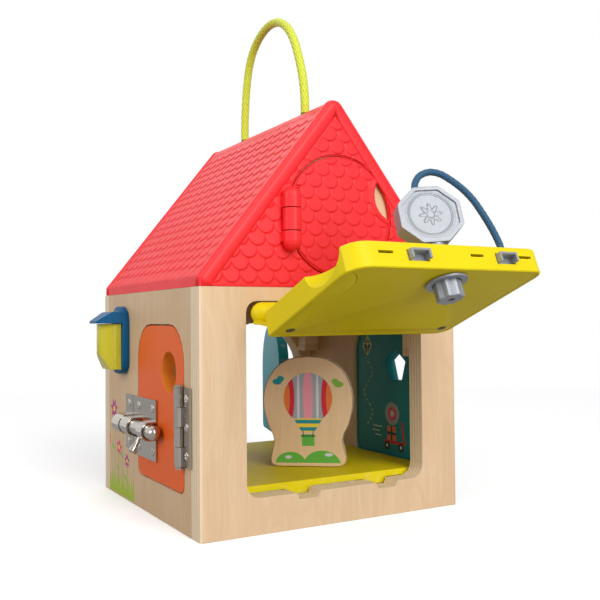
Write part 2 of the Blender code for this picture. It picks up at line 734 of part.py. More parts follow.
def leaf(name, carrier_side, knuckles, axis, out, along):
    """One leaf of a butt hinge. carrier_side is +1 or -1 along the wall from the axis,
    out is the wall's outward direction and along runs from the axis over the wall.
    The leaf is made flat in the xz plane about the axis and then turned into place."""
    segment = HINGE_LENGTH / HINGE_KNUCKLES
    meet = asin((HINGE_SHEET - HINGE_KNUCKLE_RADIUS) / HINGE_KNUCKLE_RADIUS)
    section = [(HINGE_LEAF_WIDTH, -HINGE_KNUCKLE_RADIUS),
               (HINGE_LEAF_WIDTH, HINGE_SHEET - HINGE_KNUCKLE_RADIUS)]
    section += arc((0, 0), HINGE_KNUCKLE_RADIUS, meet, 3 * pi / 2, SMALL_SIDES - 3)
    bore = circle((0, 0), HINGE_PIN_RADIUS + RUNNING_GAP, SCREW_SIDES)
    plate = slab(name, [section, bore], "xy", 0, HINGE_LENGTH)
    reach = HINGE_KNUCKLE_RADIUS + RUNNING_GAP
    for k in range(HINGE_KNUCKLES):
        if k in knuckles:
            continue
        low = k * segment - (HINGE_KNUCKLE_GAP / 2 if k else OVERRUN)
        high = (k + 1) * segment + (HINGE_KNUCKLE_GAP / 2 if k < HINGE_KNUCKLES - 1 else OVERRUN)
        cut(plate, block("notch", (-reach, -reach, low), (reach, reach, high)))
    across = Vector(along) * carrier_side
    turn = Matrix((across, Vector(out), (0, 0, 1))).transposed().to_4x4()
    plate.data.transform(Matrix.Translation(axis) @ turn)
    if turn.determinant() < 0:
        plate.data.flip_normals()
    return plate


def butt_hinge(prefix, axis, out, along, wall, door, pivot, wall_side=-1):
    """Both leaves with their screws, and the pin, of one hinge over its foot point."""
    knuckle_sets = {1: (1, 3), -1: (0, 2)}
    foot = Vector(axis)
    seat = Vector(out) * (HINGE_SHEET - HINGE_KNUCKLE_RADIUS)
    reaches = [HINGE_SCREW_EDGE, HINGE_LENGTH / 2, HINGE_LENGTH - HINGE_SCREW_EDGE]
    for side, role, carrier, holder in ((wall_side, "wall", wall, None), (-wall_side, "door", door, pivot)):
        plate = leaf(prefix + "_hinge_" + role + "_leaf", side, knuckle_sets[side * -wall_side],
                     foot, out, along)
        places = [foot + seat + Vector(along) * side * HINGE_SCREW_REACH + Vector((0, 0, reach))
                  for reach in reaches]
        fit_screws(plate, places, out, carrier)
        finish(plate, NICKEL, holder, radians(40))
    cap = HINGE_KNUCKLE_RADIUS - RUNNING_GAP
    top = HINGE_LENGTH + GAP
    profile = [(0, top + HINGE_SHEET), (cap, top + HINGE_SHEET), (cap, top), (HINGE_PIN_RADIUS, top),
               (HINGE_PIN_RADIUS, -GAP), (cap, -GAP), (cap, -GAP - HINGE_SHEET), (0, -GAP - HINGE_SHEET)]
    pin = turned(prefix + "_hinge_pin", profile, foot, (0, 0, 1), SCREW_SIDES)
    finish(pin, NICKEL, None, radians(40))


def side_door(name, low, high, hole):
    """A side door with its finger hole and eased edges."""
    door = slab(name, [side_door_outline(), hole], "yz", low, high)
    soften(door, WOOD_EDGE_ROUND)
    bpy.context.view_layer.update()
    return bake(door)


def left_door_set(left_wall):
    """Orange door, its butt hinge and the barrel bolt."""
    hinge_y = behind(SIDE_DOOR_NEAR) - DOOR_GAP / 2
    axis = Vector((LEFT_X - GAP - HINGE_KNUCKLE_RADIUS, hinge_y, HINGE_FOOT))
    pivot = joint_pivot("left_door_axis", axis)
    hole = circle((behind(FINGER_HOLE_NEAR), FINGER_HOLE_HEIGHT), FINGER_HOLE_RADIUS, 20)
    door = side_door("left_door", LEFT_X, LEFT_X + SIDE_DOOR_PLY, hole)
    butt_hinge("left", axis, (-1, 0, 0), (0, 1, 0), left_wall, door, pivot)
    barrel_bolt(left_wall, door, pivot)
    finish(door, ORANGE_PAINT, pivot, radians(40))


def formed_plate(name, near, far, foot, top, play=RUNNING_GAP):
    """A sheet screwed to the left side with a half round band over the rod, which has
    this play in it."""
    face = LEFT_X - GAP
    axis_x = face - ROD_RADIUS - RUNNING_GAP
    inner = ROD_RADIUS + play
    outer = inner + BOLT_SHEET
    steps = 8
    band_out = arc((axis_x, BOLT_AXIS_HEIGHT), outer, pi / 2, 3 * pi / 2, steps)
    band_in = arc((axis_x, BOLT_AXIS_HEIGHT), inner, 3 * pi / 2, pi / 2, steps)
    lower = BOLT_AXIS_HEIGHT - outer
    section = [(face, top), (face - BOLT_SHEET, top), (face - BOLT_SHEET, BOLT_AXIS_HEIGHT + outer)]
    section += band_out
    section += [(face - BOLT_SHEET, lower), (face - BOLT_SHEET, foot), (face, foot),
                (face, BOLT_AXIS_HEIGHT - inner)]
    section += band_in
    section += [(face, BOLT_AXIS_HEIGHT + inner)]
    return slab(name, [section], "xz", behind(near), behind(far)), axis_x


def barrel_bolt(left_wall, door, pivot):
    """Bolt plate with its rod and handle on the door, keeper on the wall."""
    plate, axis_x = formed_plate("bolt_plate", BOLT_NEAR, BOLT_FAR, BOLT_FOOT, BOLT_TOP)
    outer = ROD_RADIUS + RUNNING_GAP + BOLT_SHEET
    low = (axis_x - outer - OVERRUN, behind(BOLT_GAP_NEAR), BOLT_AXIS_HEIGHT - outer)
    high = (LEFT_X + OVERRUN, behind(BOLT_GAP_FAR), BOLT_AXIS_HEIGHT + outer)
    cut(plate, block("handle_gap", low, high))
    face = LEFT_X - GAP - BOLT_SHEET
    lengthwise = (BOLT_NEAR + BOLT_SCREW_EDGE, BOLT_FAR - BOLT_SCREW_EDGE - KEEPER_CLEAR)
    corners = [(behind(y), z) for y in lengthwise
               for z in (BOLT_FOOT + BOLT_SCREW_EDGE, BOLT_TOP - BOLT_SCREW_EDGE)]
    fit_screws(plate, [(face, y, z) for y, z in corners], (-1, 0, 0), door)
    finish(plate, NICKEL, pivot, radians(40))

    keeper, _ = formed_plate("bolt_keeper", KEEPER_NEAR, KEEPER_FAR, KEEPER_FOOT, BOLT_TOP,
                             KEEPER_PLAY)
    middle = behind((KEEPER_NEAR + KEEPER_FAR) / 2)
    places = [(face, middle, KEEPER_FOOT + BOLT_SCREW_EDGE), (face, middle, BOLT_TOP - BOLT_SCREW_EDGE)]
    fit_screws(keeper, places, (-1, 0, 0), left_wall)
    finish(keeper, NICKEL, None, radians(40))

    rest_end = behind(ROD_SHOT_END - BOLT_TRAVEL)
    handle_y = rest_end - HANDLE_FROM_END
    root = Vector((axis_x, handle_y, BOLT_AXIS_HEIGHT))
    rod_pivot = joint_pivot("bolt_rod_axis", root, pivot)
    bolt = domed_rod("bolt_rod", (axis_x, rest_end - ROD_LENGTH, BOLT_AXIS_HEIGHT),
                     (axis_x, rest_end, BOLT_AXIS_HEIGHT), ROD_RADIUS, ROUND_SIDES, True)
    groove = ROD_RADIUS - HANDLE_SEAT
    cut(bolt, ring("groove", root, groove, ROD_RADIUS + OVERRUN, HANDLE_RING_HALF + GAP))
    finish(bolt, NICKEL, rod_pivot, radians(40))

    hang = Vector((-sin(HANDLE_HANG), 0, -cos(HANDLE_HANG)))
    seat = ROD_RADIUS - HANDLE_SEAT / 2
    handle_profile = [(0, HANDLE_LENGTH), (HANDLE_FLARE_RADIUS * 0.8, HANDLE_LENGTH),
                      (HANDLE_FLARE_RADIUS, HANDLE_LENGTH - HANDLE_PIN_RADIUS),
                      (HANDLE_PIN_RADIUS * 1.3, HANDLE_LENGTH - HANDLE_FLARE_LENGTH),
                      (HANDLE_PIN_RADIUS, HANDLE_LENGTH - 1.5 * HANDLE_FLARE_LENGTH),
                      (HANDLE_PIN_RADIUS, seat), (0, seat)]
    handle = turned("bolt_handle", handle_profile, root, hang, SMALL_SIDES)
    join(handle, ring("ring", root, groove + GAP, ROD_RADIUS, HANDLE_RING_HALF))
    finish(handle, NICKEL, rod_pivot, radians(40))


def ring(name, centre, inner, outer, half):
    """A plain ring about an axis along Y."""
    profile = [(inner, half), (outer, half), (outer, -half), (inner, -half), (inner, half)]
    return turned(name, profile, centre, (0, 1, 0), ROUND_SIDES)


def right_door_set(right_wall):
    """Teal door with a pentagon hole, hung like the left one, and a hook and eye."""
    hinge_y = behind(SIDE_DOOR_NEAR) - DOOR_GAP / 2
    axis = Vector((RIGHT_X + GAP + HINGE_KNUCKLE_RADIUS, hinge_y, HINGE_FOOT))
    pivot = joint_pivot("right_door_axis", axis)
    hole = circle((behind(PENTAGON_NEAR), PENTAGON_HEIGHT), PENTAGON_RADIUS, 5, pi / 2)
    door = side_door("right_door", RIGHT_X - SIDE_DOOR_PLY, RIGHT_X, hole)
    butt_hinge("right", axis, (1, 0, 0), (0, 1, 0), right_wall, door, pivot)
    hook_and_eyes(right_wall, door, pivot)
    finish(door, TEAL_PAINT, pivot, radians(40))


def wire_ring(name, centre, level):
    """A closed ring of wire, lying level or standing square to X."""
    steps = 14
    curve = bpy.data.curves.new(name, "CURVE")
    curve.dimensions = "3D"
    curve.bevel_depth = WIRE_RADIUS
    curve.bevel_resolution = 1
    spline = curve.splines.new("POLY")
    spline.points.add(steps - 1)
    for k, point in enumerate(spline.points):
        u = EYE_RING_RADIUS * cos(2 * pi * k / steps)
        v = EYE_RING_RADIUS * sin(2 * pi * k / steps)
        away = (u, v, 0) if level else (0, u, v)
        point.co = (centre[0] + away[0], centre[1] + away[1], centre[2] + away[2], 1)
    spline.use_cyclic_u = True
    obj = new_object(name, curve)
    bpy.context.view_layer.update()
    return bake(obj)


def screw_eye(name, place, carrier, pivot):
    """An eye whose stem is screwed into the wood, its ring level."""
    x, y, z = place
    eye = wire_ring(name, (x + EYE_STEM + EYE_RING_RADIUS, y, z), True)
    stem_end = x + EYE_STEM + WIRE_RADIUS / 2
    join(eye, rod("stem", (x - SCREW_SHANK_LENGTH, y, z), (stem_end, y, z), WIRE_RADIUS, SCREW_SIDES))
    cut(carrier, rod("hole", (x - SCREW_SHANK_LENGTH - GAP, y, z), (x + OVERRUN, y, z),
                     WIRE_RADIUS + GAP, SCREW_SIDES))
    return finish(eye, NICKEL, pivot, radians(40))


def hook_and_eyes(right_wall, door, pivot):
    """A wire hook on a screw in the wall, and the eye on the door that it drops into.
    The hook is bent as it lies when latched, and then hangs down from its screw."""
    plane = RIGHT_X + EYE_STEM + EYE_RING_RADIUS
    y = behind(HOOK_PIVOT_NEAR)
    eye_height = HOOK_HEIGHT - 2 * WIRE_RADIUS - RUNNING_GAP
    screw_eye("hook_eye", (RIGHT_X, y - HOOK_LENGTH, eye_height), door, pivot)

    face = plane - WIRE_RADIUS - GAP - RIGHT_X
    head = plane + WIRE_RADIUS + GAP - RIGHT_X
    profile = [(0, head + HOOK_SCREW_HEAD_HEIGHT), (HOOK_SCREW_HEAD * 0.7, head + HOOK_SCREW_HEAD_HEIGHT),
               (HOOK_SCREW_HEAD, head), (HOOK_SCREW_NECK, head), (HOOK_SCREW_NECK, face),
               (SCREW_HEAD_RADIUS, face), (SCREW_HEAD_RADIUS, GAP), (SCREW_SHANK_RADIUS, GAP),
               (SCREW_SHANK_RADIUS, -SCREW_SHANK_LENGTH), (0, -SCREW_SHANK_LENGTH)]
    screw = turned("hook_screw", profile, (RIGHT_X, y, HOOK_HEIGHT), (1, 0, 0), SMALL_SIDES)
    cut(right_wall, rod("hole", (RIGHT_X - SCREW_SHANK_LENGTH - GAP, y, HOOK_HEIGHT),
                        (RIGHT_X + OVERRUN, y, HOOK_HEIGHT), SCREW_SHANK_RADIUS + GAP, SCREW_SIDES))
    finish(screw, NICKEL, None, radians(40))

    centre = Vector((plane, y, HOOK_HEIGHT))
    hook_pivot = joint_pivot("hook_axis", centre)
    hook = wire_ring("hook", centre, False)
    bend = WIRE_RADIUS * 1.6
    start = centre - Vector((0, EYE_RING_RADIUS - WIRE_RADIUS / 2, 0))
    corner = centre - Vector((0, HOOK_LENGTH, 0))
    route = [start, corner + Vector((0, 2 * bend, 0)), corner + Vector((0, bend, 0)),
             corner + Vector((0, bend * 0.3, -bend * 0.3)), corner + Vector((0, 0, -bend)),
             corner + Vector((0, 0, -HOOK_TIP))]
    join(hook, tube("arm", route, WIRE_RADIUS, 1))
    turn = Matrix.Translation(centre) @ Matrix.Rotation(HOOK_HANG, 4, "X") @ Matrix.Translation(-centre)
    hook.data.transform(turn)
    finish(hook, NICKEL, hook_pivot, radians(40))


def back_door_set(back_wall):
    """Teal back door under its arch, open in the photograph, and its turn button."""
    hinge_x = BACK_DOOR_CENTRE_X + SIDE_DOOR_WIDTH / 2 + DOOR_GAP / 2
    axis = Vector((hinge_x, BACK_Y + GAP + HINGE_KNUCKLE_RADIUS, HINGE_FOOT))
    pivot = joint_pivot("back_door_axis", axis)
    door = slab("back_door", [back_door_outline()], "xz", BACK_Y - SIDE_DOOR_PLY, BACK_Y)
    soften(door, WOOD_EDGE_ROUND)
    bpy.context.view_layer.update()
    door = bake(door)
    butt_hinge("back", axis, (0, 1, 0), (1, 0, 0), back_wall, door, pivot, 1)
    finish(door, TEAL_PAINT, pivot, radians(40))
    pivot.rotation_euler.z = -BACK_DOOR_OPEN

    button_x = BACK_DOOR_CENTRE_X - SIDE_DOOR_WIDTH / 2 - DOOR_GAP - BUTTON_CLEAR_OF_DOOR
    button_pivot = joint_pivot("turn_button_axis", (button_x, BACK_Y, BUTTON_HEIGHT))
    outline = box_outline(button_x - BUTTON_WIDTH / 2, button_x + BUTTON_WIDTH / 2,
                          BUTTON_HEIGHT - BUTTON_LENGTH / 2, BUTTON_HEIGHT + BUTTON_LENGTH / 2,
                          [BUTTON_WIDTH * 0.45] * 4)
    button = slab("turn_button", [outline], "xz", BACK_Y + GAP, BACK_Y + GAP + BUTTON_THICKNESS)
    place = (button_x, BACK_Y + GAP + BUTTON_THICKNESS, BUTTON_HEIGHT)
    length = BUTTON_THICKNESS + SCREW_SHANK_LENGTH
    loose_screw("turn_button_screw", place, (0, 1, 0), (button, back_wall), length)
    finish(button, YELLOW_PLASTIC, button_pivot)


def housing_outline(inset):
    """Front door housing seen along Y while it is closed, as x and z."""
    half = WINDOW_WIDTH / 2 - HOUSING_SIDE_CLEARANCE - inset
    foot = WINDOW_SILL + HOUSING_SILL_CLEARANCE + inset
    top = HOUSING_TOP - inset
    left_foot = max(FREE_LEFT_ROUND - inset, SHELL_WALL)
    right_foot = max(FREE_RIGHT_ROUND - inset, SHELL_WALL)
    left_top = max(HINGE_LEFT_ROUND - inset, 0)
    right_top = max(HINGE_RIGHT_ROUND - inset, SHELL_WALL)
    return rounded([(-half, foot, left_foot), (half, foot, right_foot),
                    (half, top, right_top), (-half, top, left_top)])


def moon(name, grow, low, high):
    """The half moon of the finger recess as a solid, grown by a wall."""
    edge = -(WINDOW_WIDTH / 2 - HOUSING_SIDE_CLEARANCE)
    centre_z = WINDOW_SILL + HOUSING_SILL_CLEARANCE + SCOOP_ABOVE_FREE_EDGE
    ring = [(edge + (SCOOP_DEPTH + grow) * u, centre_z + (SCOOP_HALF_LENGTH + grow) * v)
            for u, v in circle((0, 0), 1, ROUND_SIDES)]
    return slab(name, [ring], "xz", low, high)


def scoop_cutter():
    """Half moon finger recess in the outer face at the left edge: half of a flattened
    ball, whose depth stops above the inner face."""
    outer = FRONT_Y + HOUSING_SET_BACK
    edge = -(WINDOW_WIDTH / 2 - HOUSING_SIDE_CLEARANCE)
    centre_z = WINDOW_SILL + HOUSING_SILL_CLEARANCE + SCOOP_ABOVE_FREE_EDGE
    depth = HOUSING_THICKNESS - SCOOP_FLOOR
    bpy.ops.mesh.primitive_uv_sphere_add(segments=24, ring_count=12, radius=1)
    ball = bpy.context.active_object
    ball.name = "scoop"
    for collection in list(ball.users_collection):
        collection.objects.unlink(ball)
    HOUSE.objects.link(ball)
    size = (SCOOP_DEPTH, depth, SCOOP_HALF_LENGTH, 1)
    ball.data.transform(Matrix.Translation((edge, outer, centre_z)) @ Matrix.Diagonal(size))
    return ball


def barrel_span():
    """Half the length of the hinge barrel over the window."""
    return WINDOW_WIDTH / 2 - BARREL_END_CLEARANCE


def front_door_set(front_wall):
    """Yellow housing with its barrel hinge, key, lock and latch, modelled closed and
    then swung up."""
    barrel_y = FRONT_Y - BARREL_PROUD
    axis = Vector((0, barrel_y, BARREL_HEIGHT))
    pivot = joint_pivot("front_door_axis", axis)
    outer_y = FRONT_Y + HOUSING_SET_BACK
    inner_y = outer_y + HOUSING_THICKNESS

    shell = slab("front_door_shell", [housing_outline(0)], "xz", outer_y, inner_y)
    soften(shell, SHELL_EDGE_ROUND)
    bpy.context.view_layer.update()
    shell = bake(shell)
    cavity = slab("cavity", [housing_outline(SHELL_WALL)], "xz", outer_y + SHELL_WALL, inner_y + OVERRUN)
    cut(cavity, moon("moon", SHELL_WALL, outer_y, inner_y + 2 * OVERRUN))
    key_z = WINDOW_SILL + HOUSING_SILL_CLEARANCE + KEY_ABOVE_FREE_EDGE
    screw_spots = cover_screw_spots()
    for x, z in screw_spots:
        boss = rod("boss", (x, outer_y + SHELL_WALL / 2, z), (x, inner_y - COVER_THICKNESS - GAP, z),
                   BOSS_RADIUS, SMALL_SIDES)
        cut(cavity, boss)
    cut(shell, cavity)
    cut(shell, scoop_cutter())
    cut(shell, rod("key_hole", (KEY_X, outer_y - OVERRUN, key_z),
                   (KEY_X, outer_y + SHELL_WALL + OVERRUN, key_z), KEY_SHAFT_RADIUS + 2 * RUNNING_GAP))
    foot = WINDOW_SILL + HOUSING_SILL_CLEARANCE
    for place in (TONGUE_LEFT, TONGUE_RIGHT):
        half = TONGUE_WIDTH / 2 + RUNNING_GAP
        tongue_top = inner_y - TONGUE_ABOVE_INNER
        low = (place - half, tongue_top - TONGUE_THICKNESS - RUNNING_GAP, foot - OVERRUN)
        high = (place + half, tongue_top + RUNNING_GAP, foot + SHELL_WALL + OVERRUN)
        cut(shell, block("tongue_window", low, high))
    for share in CLIP_SLOT_SHARES:
        place = WINDOW_WIDTH * share
        middle = outer_y + CLIP_SLOT_DEPTH
        low = (place - CLIP_SLOT_WIDTH / 2, middle - CLIP_SLOT_HEIGHT / 2, foot - OVERRUN)
        high = (place + CLIP_SLOT_WIDTH / 2, middle + CLIP_SLOT_HEIGHT / 2, foot + SHELL_WALL + OVERRUN)
        cut(shell, block("clip_slot", low, high))
    add_barrels(shell, axis, outer_y, inner_y)

    cover = slab("front_door_cover", [housing_outline(SHELL_WALL + GAP)], "xz",
                 inner_y - COVER_THICKNESS, inner_y)
    cut(cover, moon("moon", SHELL_WALL + GAP, outer_y, inner_y + OVERRUN))
    cut(cover, rod("lock_hole", (KEY_X, inner_y - COVER_THICKNESS - OVERRUN, key_z),
                   (KEY_X, inner_y + OVERRUN, key_z), LOCK_SLEEVE_RADIUS + RUNNING_GAP))
    places = [(x, inner_y, z) for x, z in screw_spots]
    fit_screws(cover, places, (0, 1, 0), shell)
    finish(shell, YELLOW_PLASTIC, pivot, radians(40))
    finish(cover, YELLOW_PLASTIC, pivot, radians(40))

    axle = rod("front_hinge_axle", (-AXLE_LENGTH / 2, barrel_y, BARREL_HEIGHT),
               (AXLE_LENGTH / 2, barrel_y, BARREL_HEIGHT), AXLE_RADIUS, SMALL_SIDES)
    finish(axle, NICKEL, None, radians(40))
    hinge_bracket(front_wall, axis)
    lock_pivot = joint_pivot("lock_axis", (KEY_X, outer_y, key_z), pivot)
    lock_parts(inner_y, outer_y, key_z, pivot, lock_pivot)
    key_parts(outer_y, inner_y, key_z, pivot, lock_pivot)
    pivot.rotation_euler.x = -DOOR_OPEN
    return pivot


def cover_screw_spots():
    """Two cover screws near the hinge end of the housing."""
    half = WINDOW_WIDTH / 2 - HOUSING_SIDE_CLEARANCE
    z = HOUSING_TOP - COVER_SCREW_INSET_S
    return [(-half + COVER_SCREW_INSET_X, z), (half - COVER_SCREW_INSET_X, z)]


def add_barrels(shell, axis, outer_y, inner_y):
    """The two barrels with round outer ends, each on a leaning web from the housing."""
    middle = BARREL_MIDDLE / 2 + RUNNING_GAP
    end = barrel_span()
    for way in (-1, 1):
        start = (way * middle, axis.y, axis.z)
        stop = (way * end, axis.y, axis.z)
        barrel = domed_rod("barrel", start, stop, BARREL_RADIUS)
        root = Vector((cos(WEB_ROOT_ANGLE), sin(WEB_ROOT_ANGLE))) * BARREL_RADIUS + Vector((axis.y, axis.z))
        inner_root = root - Vector((cos(WEB_ROOT_ANGLE), sin(WEB_ROOT_ANGLE))) * WEB_THICKNESS
        foot_y = outer_y + WEB_FOOT_DEPTH
        bend = Vector((root.x + (foot_y - root.x) * 0.42, root.y + (HOUSING_TOP - root.y) * 0.5))
        section = [tuple(root), (bend.x, bend.y), (foot_y, HOUSING_TOP - OVERRUN / 4),
                   (foot_y - WEB_THICKNESS, HOUSING_TOP - OVERRUN / 4),
                   (bend.x - WEB_THICKNESS, bend.y - WEB_THICKNESS / 3), tuple(inner_root)]
        housing_half = WINDOW_WIDTH / 2 - HOUSING_SIDE_CLEARANCE - SHELL_EDGE_ROUND
        if way > 0:
            housing_half = WINDOW_WIDTH / 2 - HOUSING_SIDE_CLEARANCE - HINGE_RIGHT_ROUND
        low, high = sorted((way * middle, way * housing_half))
        web = slab("web", [section], "yz", low, high)
        join(barrel, web)
        bore_end = way * (AXLE_LENGTH / 2 + RUNNING_GAP)
        bore = rod("bore", (way * (middle - OVERRUN), axis.y, axis.z), (bore_end, axis.y, axis.z),
                   AXLE_RADIUS + RUNNING_GAP, SMALL_SIDES)
        cut(barrel, bore)
        join(shell, barrel)


def hinge_bracket(front_wall, axis):
    """Fixed middle knuckle, screwed up into the top of the window opening."""
    half = BARREL_MIDDLE / 2 - RUNNING_GAP
    knuckle = rod("front_hinge_bracket", (-half, axis.y, axis.z), (half, axis.y, axis.z), BARREL_RADIUS)
    top = WINDOW_TOP - GAP
    base = block("base", (-BRACKET_WIDTH / 2, axis.y + BARREL_RADIUS / 2, top - BRACKET_HEIGHT),
                 (BRACKET_WIDTH / 2, INNER_FRONT_Y - GAP, top))
    join(knuckle, base)
    cut(knuckle, rod("bore", (-half - OVERRUN, axis.y, axis.z), (half + OVERRUN, axis.y, axis.z),
                     AXLE_RADIUS + GAP, SMALL_SIDES))
    middle_y = (FRONT_Y + INNER_FRONT_Y) / 2
    places = [(x, middle_y + SCREW_HEAD_HEIGHT, top - BRACKET_HEIGHT)
              for x in (-BRACKET_WIDTH / 3, BRACKET_WIDTH / 3)]
    fit_screws(knuckle, places, (0, 0, -1), front_wall, BRACKET_HEIGHT + SCREW_HEAD_HEIGHT * 2)
    finish(knuckle, YELLOW_PLASTIC, None, radians(40))


def flute_outline(centre, radius, depth):
    """Eight round ribs round a shaft: the radius dips as a smooth wave."""
    count = KEY_FLUTES * 4
    points = []
    for k in range(count):
        angle = 2 * pi * k / count
        dip = depth * (0.5 - 0.5 * cos(KEY_FLUTES * angle))
        points.append((centre[0] + (radius - dip) * cos(angle), centre[1] + (radius - dip) * sin(angle)))
    return points


def lock_parts(inner_y, outer_y, key_z, pivot, lock_pivot):
    """Turning lock: a sleeve with a spiral slot in its arm, and the collar that keeps
    it in the cover. Its slot moves the latch's pin evenly as the lock turns."""
    sleeve_low = outer_y + SHELL_WALL + GAP
    sleeve_high = inner_y + GAP / 2
    lock = rod("lock_sleeve", (KEY_X, sleeve_low, key_z), (KEY_X, sleeve_high, key_z), LOCK_SLEEVE_RADIUS)
    arm_far = inner_y - COVER_THICKNESS - RUNNING_GAP
    arm_near = arm_far - LOCK_ARM_THICKNESS
    reach = LATCH_PIN_NEAR + LATCH_TRAVEL + LATCH_PIN_RADIUS + RUNNING_GAP + LOCK_ARM_WALL
    margin = asin((LATCH_PIN_RADIUS + RUNNING_GAP + LOCK_ARM_WALL) / LATCH_PIN_NEAR)
    start = pi / 2 + margin
    end = pi / 2 - LATCH_TURN - margin
    sector = [(KEY_X, key_z)] + arc((KEY_X, key_z), reach, start, end, 10)
    join(lock, slab("arm", [sector], "xz", arm_near, arm_far))
    slot = spiral_slot(key_z)
    cut(lock, slab("spiral_slot", [slot], "xz", arm_near - OVERRUN, arm_far + OVERRUN))
    bore = flute_outline((KEY_X, key_z), KEY_SHAFT_RADIUS + RUNNING_GAP, KEY_FLUTE_DEPTH)
    cut(lock, slab("key_bore", [bore], "xz", sleeve_low - OVERRUN, sleeve_high + OVERRUN))
    finish(lock, GREY_PLASTIC, lock_pivot, radians(40))

    collar_low = sleeve_high + GAP
    ring = circle((KEY_X, key_z), LOCK_COLLAR_RADIUS)
    hole = circle((KEY_X, key_z), KEY_SHAFT_RADIUS + RUNNING_GAP)
    collar = slab("lock_collar", [ring, hole], "xz", collar_low, collar_low + LOCK_COLLAR_THICKNESS)
    finish(collar, GREY_PLASTIC, lock_pivot, radians(40))

    latch = latch_bar(inner_y, key_z, arm_near)
    latch_pivot = joint_pivot("latch_axis", (KEY_X, outer_y, key_z), pivot)
    finish(latch, GREY_PLASTIC, latch_pivot)


def spiral_slot(key_z):
    """Slot whose middle line runs out evenly from the near to the far pin place."""
    half = LATCH_PIN_RADIUS + RUNNING_GAP
    steps = 9
    line = []
    overshoot = radians(2)
    for k in range(steps + 1):
        turn = -overshoot + (LATCH_TURN + 2 * overshoot) * k / steps
        radius = LATCH_PIN_NEAR + LATCH_TRAVEL * turn / LATCH_TURN
        line.append((radius, pi / 2 - turn))
    outer = [(KEY_X + (r + half) * cos(a), key_z + (r + half) * sin(a)) for r, a in line]
    inner = [(KEY_X + (r - half) * cos(a), key_z + (r - half) * sin(a)) for r, a in reversed(line)]
    first, last = line[0], line[-1]
    ends = [(last[0], last[1] - half / last[0]), (first[0], first[1] + half / first[0])]
    far_end, near_end = [(KEY_X + r * cos(a), key_z + r * sin(a)) for r, a in ends]
    return outer + [far_end] + inner + [near_end]


def latch_bar(inner_y, key_z, arm_near):
    """Bar across the housing with two arms that end in hollow tongues, and the pin
    that rides in the lock's spiral slot."""
    far = inner_y - TONGUE_ABOVE_INNER
    near = far - TONGUE_THICKNESS
    bar_near = near
    bar_far = arm_near - RUNNING_GAP
    pin_z = key_z + LATCH_PIN_NEAR
    foot = WINDOW_SILL + HOUSING_SILL_CLEARANCE
    bar_low = pin_z - LATCH_BAR_WIDTH / 3
    bar_high = pin_z + LATCH_BAR_WIDTH * 2 / 3 + LATCH_TRAVEL
    left = TONGUE_LEFT - LATCH_ARM_WIDTH / 2
    right = TONGUE_RIGHT + LATCH_ARM_WIDTH / 2
    bar = block("latch_bar", (left, bar_near, bar_low), (right, bar_far, bar_high))
    for place in (TONGUE_LEFT, TONGUE_RIGHT):
        arm = block("arm", (place - LATCH_ARM_WIDTH / 2, bar_near, foot + SHELL_WALL + LATCH_TRAVEL * 2),
                    (place + LATCH_ARM_WIDTH / 2, bar_far, bar_low + OVERRUN))
        join(bar, arm)
        tip = foot - TONGUE_REACH
        tongue = block("tongue", (place - TONGUE_WIDTH / 2, near, tip),
                       (place + TONGUE_WIDTH / 2, far, foot + SHELL_WALL + LATCH_TRAVEL * 2 + OVERRUN / 2))
        hollow = block("hollow", (place - TONGUE_WIDTH / 2 + TONGUE_WALL, near + TONGUE_WALL, tip - OVERRUN),
                       (place + TONGUE_WIDTH / 2 - TONGUE_WALL, far + OVERRUN, tip + TONGUE_HOLLOW_DEPTH))
        cut(tongue, hollow)
        join(bar, tongue)
    pin = rod("pin", (KEY_X, bar_far - OVERRUN / 2, pin_z),
              (KEY_X, arm_near + LOCK_ARM_THICKNESS - RUNNING_GAP, pin_z), LATCH_PIN_RADIUS, SMALL_SIDES)
    join(bar, pin)
    return bar


def key_parts(outer_y, inner_y, key_z, pivot, lock_pivot):
    """Key with a fluted shaft, a collar on the housing and an eight-sided head, and the
    cord that ties it to the housing."""
    key_pivot = joint_pivot("key_axis", (KEY_X, outer_y, key_z), lock_pivot)
    tip = inner_y + KEY_TIP_REACH
    collar_low = outer_y - GAP - KEY_COLLAR_THICKNESS
    shaft = slab("key", [flute_outline((KEY_X, key_z), KEY_SHAFT_RADIUS, KEY_FLUTE_DEPTH)], "xz",
                 collar_low + GAP, tip)
    soften(shaft, KEY_TIP_CHAMFER, 1, radians(75))
    bpy.context.view_layer.update()
    shaft = bake(shaft)
    cut(shaft, rod("tip_hole", (KEY_X, tip + OVERRUN, key_z), (KEY_X, tip - KEY_TIP_HOLE_DEPTH, key_z),
                   KEY_TIP_HOLE_RADIUS, SMALL_SIDES))
    join(shaft, rod("collar", (KEY_X, collar_low, key_z), (KEY_X, collar_low + KEY_COLLAR_THICKNESS, key_z),
                    KEY_COLLAR_RADIUS))
    head_y = outer_y - KEY_HEAD_CENTRE
    join(shaft, rod("neck", (KEY_X, head_y + KEY_HEAD_RADIUS * 0.85, key_z),
                    (KEY_X, collar_low + OVERRUN / 2, key_z), KEY_NECK_RADIUS, SMALL_SIDES))
    head = key_head(head_y, key_z)
    centre = Vector((KEY_X, 0, key_z))
    turn = Matrix.Rotation(KEY_REST_TURN, 4, "Y")
    head.data.transform(Matrix.Translation(centre) @ turn @ Matrix.Translation(-centre))
    join(shaft, head)
    finish(shaft, GREY_PLASTIC, key_pivot, radians(30))
    tether(outer_y, key_z, pivot)


